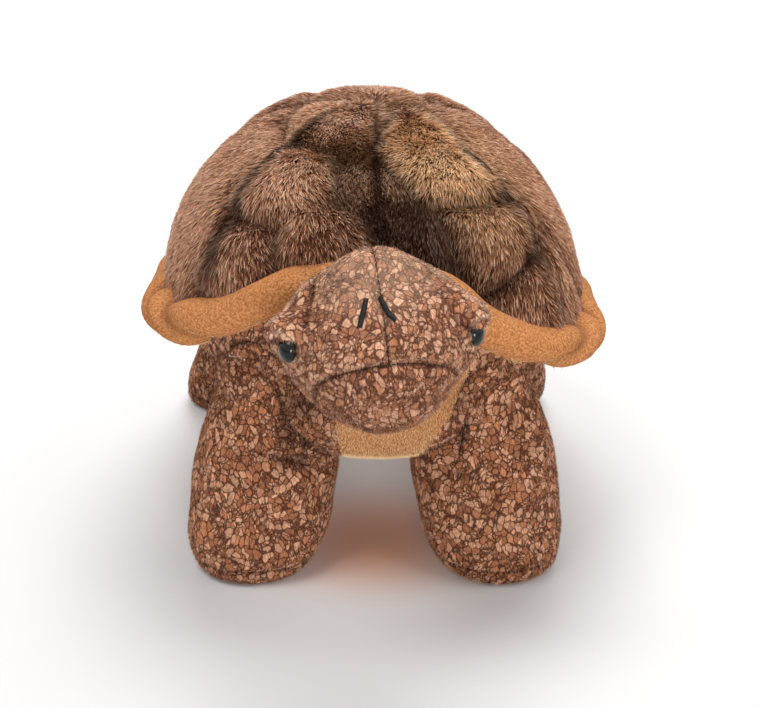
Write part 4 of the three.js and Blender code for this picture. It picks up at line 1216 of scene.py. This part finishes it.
# Creases: points along each, its depth, width and darkness
HEAD_CREASES = [
    ([(-21.9, 6.6, 22.5), (-23.3, -0.2, 21.3), (-25.1, -6.8, 19.8), (-26.9, -11.7, 16.1)], 2.6, 1.5, 0.95),
    ([(21.4, -9.2, 22.2), (24.3, -11.8, 18.7), (26, -13.4, 15.6), (27.7, -14.4, 11.6), (29.6, -13.5, 7.6)],
     1.7, 1.4, 0.8),
    ([(-34.7, -6.1, -1.3), (-30.7, -6.3, -10.2)], 1.0, 1.6, 0.4),
]
# Ridges: points along each, its height and width
HEAD_RIDGES = [
    ([(-22.6, 8.6, 21.4), (-29.1, 4.7, 15.8), (-35.4, -3.5, 13.8)], 1.6, 3.6),
    ([(20.5, 4, 23.7), (26.6, 4.3, 18.8), (31.9, -2, 15.7), (35.6, -6.9, 13.5)], 1.2, 5.0),
]
# The edge of each eyelid and how far it stands out
LIDS = {
    "left": ((-37.1, -8.4, 9.9), (-31.1, -12.2, 10.4), 3.4),
    "right": ((34.7, -10.4, 8.6), (30.6, -12.7, 5.9), 3.6),
}


def groove(points):
    """How close points of the head lie to a seam, how much shade that paints on them, and how near its lip is, which
    gets a painted sheen.
    """
    to_mouth = (points - MOUTH) @ MOUTH_NORMAL
    to_middle = np.where(to_mouth > 0, np.abs(points[:, 0]), 9)
    crown = ease(points[:, 2], 15, 24)
    dark = np.maximum(bump(to_mouth, 0.8), bump(to_middle, 0.6) * (1 - 0.85 * crown))
    lip = np.maximum(bump(to_mouth - 1.5, 0.5), bump(to_middle - 0.9 * (1 - crown), 0.6))
    return np.maximum(bump(to_mouth, 1.0), bump(to_middle, 0.8)), dark, lip


def lid_relief(points, side):
    """How far an eyelid rises, how much shade is painted in the fold under it, and how much sheen is painted on the
    cloth round the eye.
    """
    start, end, height = map(np.array, LIDS[side])
    off = points - (start + end) / 2
    run = unit(end - start)
    up = np.cross(unit(start + end), run)
    above = off @ unit(up * np.sign(up[2]))
    window = (1 - ease(np.abs(off @ run), 3.2, 8)) * (size_of(off) < 16)
    from_eye = size_of(points - head_skin(np.array([EYE_WAYS[side]])))
    rise = height * ease(above, -0.7, 0.5) * (1 - ease(above, 1.2, 9)) * window
    rise += 1.0 * bump(from_eye - 6.0, 1.2) * ease(-above, -1.5, 0.5)
    return rise, 0.85 * bump(above + 0.8, 0.8) * window, 0.9 * bump(from_eye - 5.6, 1.0)


def head_relief(points):
    """How far the head's cloth rises from its plain form, how much shade is painted on it in folds, and how much
    sheen.
    """
    seam, dark_seam, lip = groove(points)
    rise = 0.35 * lumps(points, 12, 70) + 0.15 * lumps(points, 4, 71) - 1.2 * seam
    # The crown, facing up, gets a painted sheen as if lit from above
    crown = ease(unit(points)[:, 2], 0.55, 0.97)
    fold, painted_sheen = 0.85 * dark_seam, np.maximum(PLAIN_SHEEN + 0.38 * crown, 0.6 * lip)
    # Creases get painted shade, and ridges a painted sheen
    for line, depth, width, dark in HEAD_CREASES:
        far, _ = near_line(points, line)
        rise -= depth * bump(far, width)
        fold = np.maximum(fold, dark * bump(far, 0.95 * width))
    for line, height, width in HEAD_RIDGES:
        far, _ = near_line(points, line)
        rise += height * bump(far, width)
        painted_sheen = np.maximum(painted_sheen, 0.95 * bump(far, 0.8 * width))
    for side in LIDS:
        lid, dark, pale = lid_relief(points, side)
        rise, fold, painted_sheen = rise + lid, np.maximum(fold, dark), np.maximum(painted_sheen, pale)
    fold = np.clip(fold, 0, 1)
    return rise, fold, painted_sheen * (1 - 0.8 * fold)


# %% Cut and dress the head's three cloths
def round_ball(finer):
    """A ball of triangles, and the ways to its points."""
    made = bmesh.new()
    bmesh.ops.create_icosphere(made, subdivisions=finer, radius=1)
    return made, np.array([vert.co[:] for vert in made.verts])


def faces_of(mesh, corners):
    """The faces that have so many corners, as point numbers."""
    chosen = [face for face in mesh.faces if len(face.verts) == corners]
    return np.array([[vert.index for vert in face.verts] for face in chosen])


def cut_away(mesh, point, normal):
    """Cuts a mesh along a plane and drops what lies on the side its normal points to."""
    everything = mesh.verts[:] + mesh.edges[:] + mesh.faces[:]
    bmesh.ops.bisect_plane(mesh, geom=everything, plane_co=point, plane_no=normal, clear_outer=True)


# Each cloth's node, its side of the middle seam and its side of the mouth
HEAD_CLOTHS = {
    "head_cloth_left": ("head_left_panel", -1, 1), "head_cloth_right": ("head_right_panel", 1, 1),
    "chin_cloth": ("chin_panel", 0, -1),
}
CHIN_SHADE = 0.12
ball, ways = round_ball(7)
for vert, spot in zip(ball.verts, head_skin(ways)):
    vert.co = spot
for number, (name, (node, side, above)) in enumerate(HEAD_CLOTHS.items()):
    part = ball.copy()
    cut_away(part, MOUTH, MOUTH_NORMAL * -above)
    if side:
        cut_away(part, (0, 0, 0), (-side, 0, 0))
    part.verts.ensure_lookup_table()
    part.faces.ensure_lookup_table()
    local = np.array([vert.co[:] for vert in part.verts])
    faces, quads = faces_of(part, 3), faces_of(part, 4)
    rise, fold, painted_sheen = head_relief(local)
    masks = {"fold": fold if side else np.maximum(fold, CHIN_SHADE), "painted_sheen": painted_sheen if side else 0.5 * painted_sheen}
    points = on_head(local + unit(local) * rise[:, None])
    cloth = build(name, points, [faces, quads] if len(quads) else [faces], HEAD_PRINT, masks)
    dress(thicken(cloth), [node], "head")
    short_pile(name.replace("cloth", "fuzz"), points, faces, masks, "head", HEAD_FUZZ,
               density=4.0, length=1.1, seed=60 + number, lie=DOWN + (0, 0.5, 0), width=0.18)
    print(name, len(points), "points")

core, ways = round_ball(5)
local = head_skin(ways)
inner = on_head(local + unit(local) * (head_relief(local)[0] - FILLING_INSETS["head"])[:, None])
wadding("head_wadding", inner, faces_of(core, 3), "head_stuffing", "head")

# %% [markdown]
# ## Eyes and nostrils
# The eyes are moulded domes with a rim that presses on the cloth, turned here from a profile. The
# nostrils are satin stitch: short threads laid side by side over the cloth.

# %% Eyes
EYE_RADIUS, EYE_BULGE, EYE_FLANGE, SHANK_RADIUS, SHANK_LENGTH = 4.6, 3.2, 0.9, 1.6, 9


def turned(name, profile, seat, out, finish_of, sides=64):
    """A lathe-turned piece from (radius, height) pairs, standing on a seat."""
    side = unit(np.cross(out, (0.3, 0.2, 1.0)))
    other = np.cross(out, side)
    c, s = heading(np.arange(sides) * 360 / sides)
    rows = [seat + out * h + (side * c[:, None] + other * s[:, None]) * r for r, h in profile]
    points = np.vstack(rows)
    return build(name, points, grid_faces(len(profile), sides, True), finish_of)


AXIS = 1e-3  # a radius so small that the piece closes on its axis
EYE_LIP = [(EYE_RADIUS + 0.25, -0.25), (EYE_RADIUS + 0.3, -0.1), (EYE_RADIUS + 0.1, 0.05)]
EYE_SHANK = [
    (AXIS, -SHANK_LENGTH), (SHANK_RADIUS, -SHANK_LENGTH), (SHANK_RADIUS, -EYE_FLANGE), (EYE_RADIUS, -EYE_FLANGE),
]
wide, high = heading(np.linspace(0, 90, 22))
eye_cap = list(zip(EYE_RADIUS * wide + AXIS, EYE_BULGE * high))
for side, way in EYE_WAYS.items():
    seat, under = (on_head(head_skin(np.array([way]), inset))[0] for inset in (0.0, 1.1))
    eye = turned(f"eye_dome_{side}", EYE_SHANK + EYE_LIP + eye_cap, seat, unit(seat - under), EYE_GLOSS)
    dress(eye, [f"eye_{side}"], "head")
print(len(EYE_WAYS), "eyes")

# %% Nostrils in satin stitch
NOSTRILS = {
    "left": [(-0.16, -0.54, 0.825), (-0.22, -0.66, 0.715), (-0.28, -0.76, 0.59)],
    "right": [(-0.02, -0.54, 0.84), (0.045, -0.69, 0.72), (0.13, -0.755, 0.645)],
}


def tube(path, radius, sides=6):
    """Points and faces of a thin tube along a path, closed at both ends."""
    along = unit(np.gradient(path, axis=0))
    side = unit(np.cross(along, (0.2, 0.3, 1.0)))
    other = np.cross(along, side)
    c, s = heading(np.arange(sides) * 360 / sides)
    radii = np.broadcast_to(radius, len(path))
    round_it = side[:, None, :] * c[None, :, None] + other[:, None, :] * s[None, :, None]
    rows = path[:, None, :] + radii[:, None, None] * round_it
    return rows.reshape(-1, 3), grid_faces(len(path), sides, True)


def threads(name, paths, radius, finish_of):
    """Several tubes as one mesh."""
    points, faces, count = [], [], 0
    for path in paths:
        p, f = tube(np.asarray(path), radius)
        points.append(p)
        faces.append(f + count)
        count += len(p)
    return build(name, np.vstack(points), np.vstack(faces), finish_of)


for side, marks in NOSTRILS.items():
    share = np.linspace(0, 2, 25)
    spine = head_skin(np.stack([np.interp(share, range(3), column) for column in np.array(marks).T], axis=-1))
    along, out = unit(np.gradient(spine, axis=0)), unit(spine)
    across = unit(np.cross(along, out))
    arc = np.linspace(-1, 1, 7)
    bow = 0.75 * (1 - arc**2) - 0.25
    paths = []
    for at in range(1, len(spine) - 1):
        half = 0.95 * math.sin(math.pi * (0.1 + 0.8 * at / len(spine))) ** 0.35
        shape = across[at] * (arc * half)[:, None] + out[at] * bow[:, None]
        shape = shape + along[at] * (0.25 * arc)[:, None]
        paths.append(on_head(spine[at] + shape))
    stitch = threads(f"nostril_threads_{side}", paths, 0.24, THREAD)
    dress(stitch, [f"nostril_stitch_{side}"], "head")
print(len(NOSTRILS), "nostrils")

# %% Stitches along the seams of the face
def mouth_line(turns):
    """Points of the head on the plane of the mouth seam, at angles round its middle."""
    middle = MOUTH_NORMAL * (MOUTH @ MOUTH_NORMAL)
    c, s = heading(turns)
    way = np.stack([c, -s * MOUTH_NORMAL[2], s * MOUTH_NORMAL[1]], axis=-1)
    low, high = np.zeros(len(turns)), np.full(len(turns), 60.0)
    for _ in range(24):
        reach = (low + high) / 2
        spots = middle + way * reach[:, None]
        inside = np.linalg.norm(spots, axis=1) < np.linalg.norm(head_skin(spots), axis=1)
        low, high = np.where(inside, reach, low), np.where(inside, high, reach)
    return middle + way * low[:, None]


STITCH_ARC = np.sin(np.pi * np.linspace(0, 1, 5))


def runs(step, share, line, *others):
    """Stretches of five points along a line, each a share of a step long, and what other rows are there."""
    far = np.concatenate([[0], np.cumsum(size_of(np.diff(line, axis=0)))])
    for start in np.arange(0, far[-1] - step, step):
        at = np.linspace(start, start + share * step, len(STITCH_ARC))
        yield [
            np.stack([np.interp(at, far, column) for column in rows.T], axis=-1) for rows in (line, *others)
        ]


def face_stitches(line, step, share):
    """Short threads that lie on the head's cloth along a line."""
    for (spots,) in runs(step, share, line):
        lift = head_relief(spots)[0] + 0.25 * STITCH_ARC
        yield on_head(spots + unit(spots) * lift[:, None])


wide, high = heading(np.linspace(12, 100, 90))
middle_line = head_skin(np.stack([0 * wide, -wide, high], axis=-1))
paths = list(face_stitches(mouth_line(np.linspace(35, 145, 120)), 2.3, 0.72))
paths += face_stitches(middle_line, 2.5, 0.7)
dress(threads("face_seam_threads", paths, 0.2, SEAM_THREAD), body="head")
print(len(paths), "stitches on the face")


# %% Stitches where the front sleeves are sewn on, and along their darts
def drawn(marks, count):
    """A line through marks as that many values of each kind."""
    share = np.linspace(0, len(marks) - 1, count)
    return [np.interp(share, range(len(marks)), column) for column in np.array(marks, float).T]


def dashes(name, line, out, step, share, radius, body=None):
    """Short threads along a line, each bowed a little the way out, as one piece."""
    paths = [spots + up * (0.3 * STITCH_ARC)[:, None] for spots, up in runs(step, share, line, out)]
    return dress(threads(name, paths, radius, SEAM_THREAD), body=body)


for side, marks in ARMHOLES.items():
    line, out = belly_cloth(*drawn(marks, 80), 0.7)
    dashes(f"armhole_threads_{side}", line, out, 2.2, 0.8, 0.26, "body")
    name = f"front_{side}"
    turn, height = drawn(LEG_FOLDS[name][0][0], 60)
    line, _, _ = leg_cloth(name, turn, height)
    out = unit(line - np.array([*leg_section(name, height)[:2], height]).T)
    bend_leg(dashes(f"dart_threads_{side}", line, out, 2.6, 0.85, 0.3), name)
print(len(ARMHOLES), "armholes")

# %% [markdown]
# ## Neck and tail
# The neck is a short sleeve between the body and the back of the head. The tail can't be seen in
# the photograph, so it is plain: a short cone of the leg cloth.

# %% Neck sleeve
NECK_ROOT, NECK_TIP = np.array([0, -94, 105.0]), np.array([0.5, -129, 127.0])
NECK_ROOT_RADIUS, NECK_TIP_RADIUS, NECK_WAIST = 20, 16, 15
run = NECK_TIP - NECK_ROOT
length = size_of(run)
at = np.linspace(-0.6 * NECK_ROOT_RADIUS, length + 0.6 * NECK_TIP_RADIUS, 44)
root_ball = np.sqrt(np.maximum(0, NECK_ROOT_RADIUS**2 - at**2))
tip_ball = np.sqrt(np.maximum(0, NECK_TIP_RADIUS**2 - (at - length) ** 2))
radii = np.maximum(np.maximum(root_ball, tip_ball), np.where((at > 0) & (at < length), NECK_WAIST, 0))
radii = np.convolve(np.pad(radii, 2, mode="edge"), np.ones(5) / 5, "valid")
spine = NECK_ROOT + at[:, None] * unit(run)
points, faces = tube(spine, radii, 72)
points = points + unit(points - points.mean(0)) * (0.5 * lumps(points, 9, 81))[:, None]
neck = thicken(build("neck_sleeve", points, faces, HEAD_PRINT, {"fold": np.zeros(len(points))}))
dress(neck, ["neck_cover"], None)
start, end = metres(NECK_ROOT), metres(NECK_ROOT + 0.7 * run)
tuple(start)
tuple(end)
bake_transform(neck)
inner, _ = tube(spine, radii - FILLING_INSETS["neck"], 36)
inner = wadding("neck_wadding", *capped(inner, 36), "neck_stuffing")
tuple(start)
tuple(end)
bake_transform(inner)
print("neck", round(float(length), 1), "mm long")

# %% Tail sleeve
TAIL_ROOT, TAIL_TIP = np.array([0, 104, 76.0]), np.array([0, 139, 60.0])
share = np.linspace(0, 1, 40)
radii = 3 + 8 * np.interp(share, [0, 0.35, 0.7, 0.9, 1], [1, 0.92, 0.62, 0.32, -0.36])
points, faces = tube(TAIL_ROOT + share[:, None] * (TAIL_TIP - TAIL_ROOT), np.maximum(radii, 0.05), 60)
points = points + unit(points - TAIL_ROOT) * (0.3 * lumps(points, 6, 84))[:, None]
tail = build("tail_sleeve", points, faces, LEG_PRINT, {"fold": np.zeros(len(points))})
dress(thicken(tail, TAIL_CLOTH_DEPTH), ["tail_cover"], "body")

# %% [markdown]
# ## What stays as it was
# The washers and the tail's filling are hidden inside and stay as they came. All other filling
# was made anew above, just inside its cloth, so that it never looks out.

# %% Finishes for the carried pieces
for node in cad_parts.values():
    if "washer" in node.name or "stuffing" in node.name:
        node.data.materials.clear()
        node.data.materials.append(WASHER if "washer" in node.name else WADDING)

# %% Sizes, and how far the pieces reach beyond the solids
low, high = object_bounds()
sizes = {"cad": [list(cad_low), list(cad_high)], "visual": [list(low), list(high)]}
print("proud of the solids by", [round(1000 * v, 1) for v in (*(cad_low - low), *(high - cad_high))], "mm")
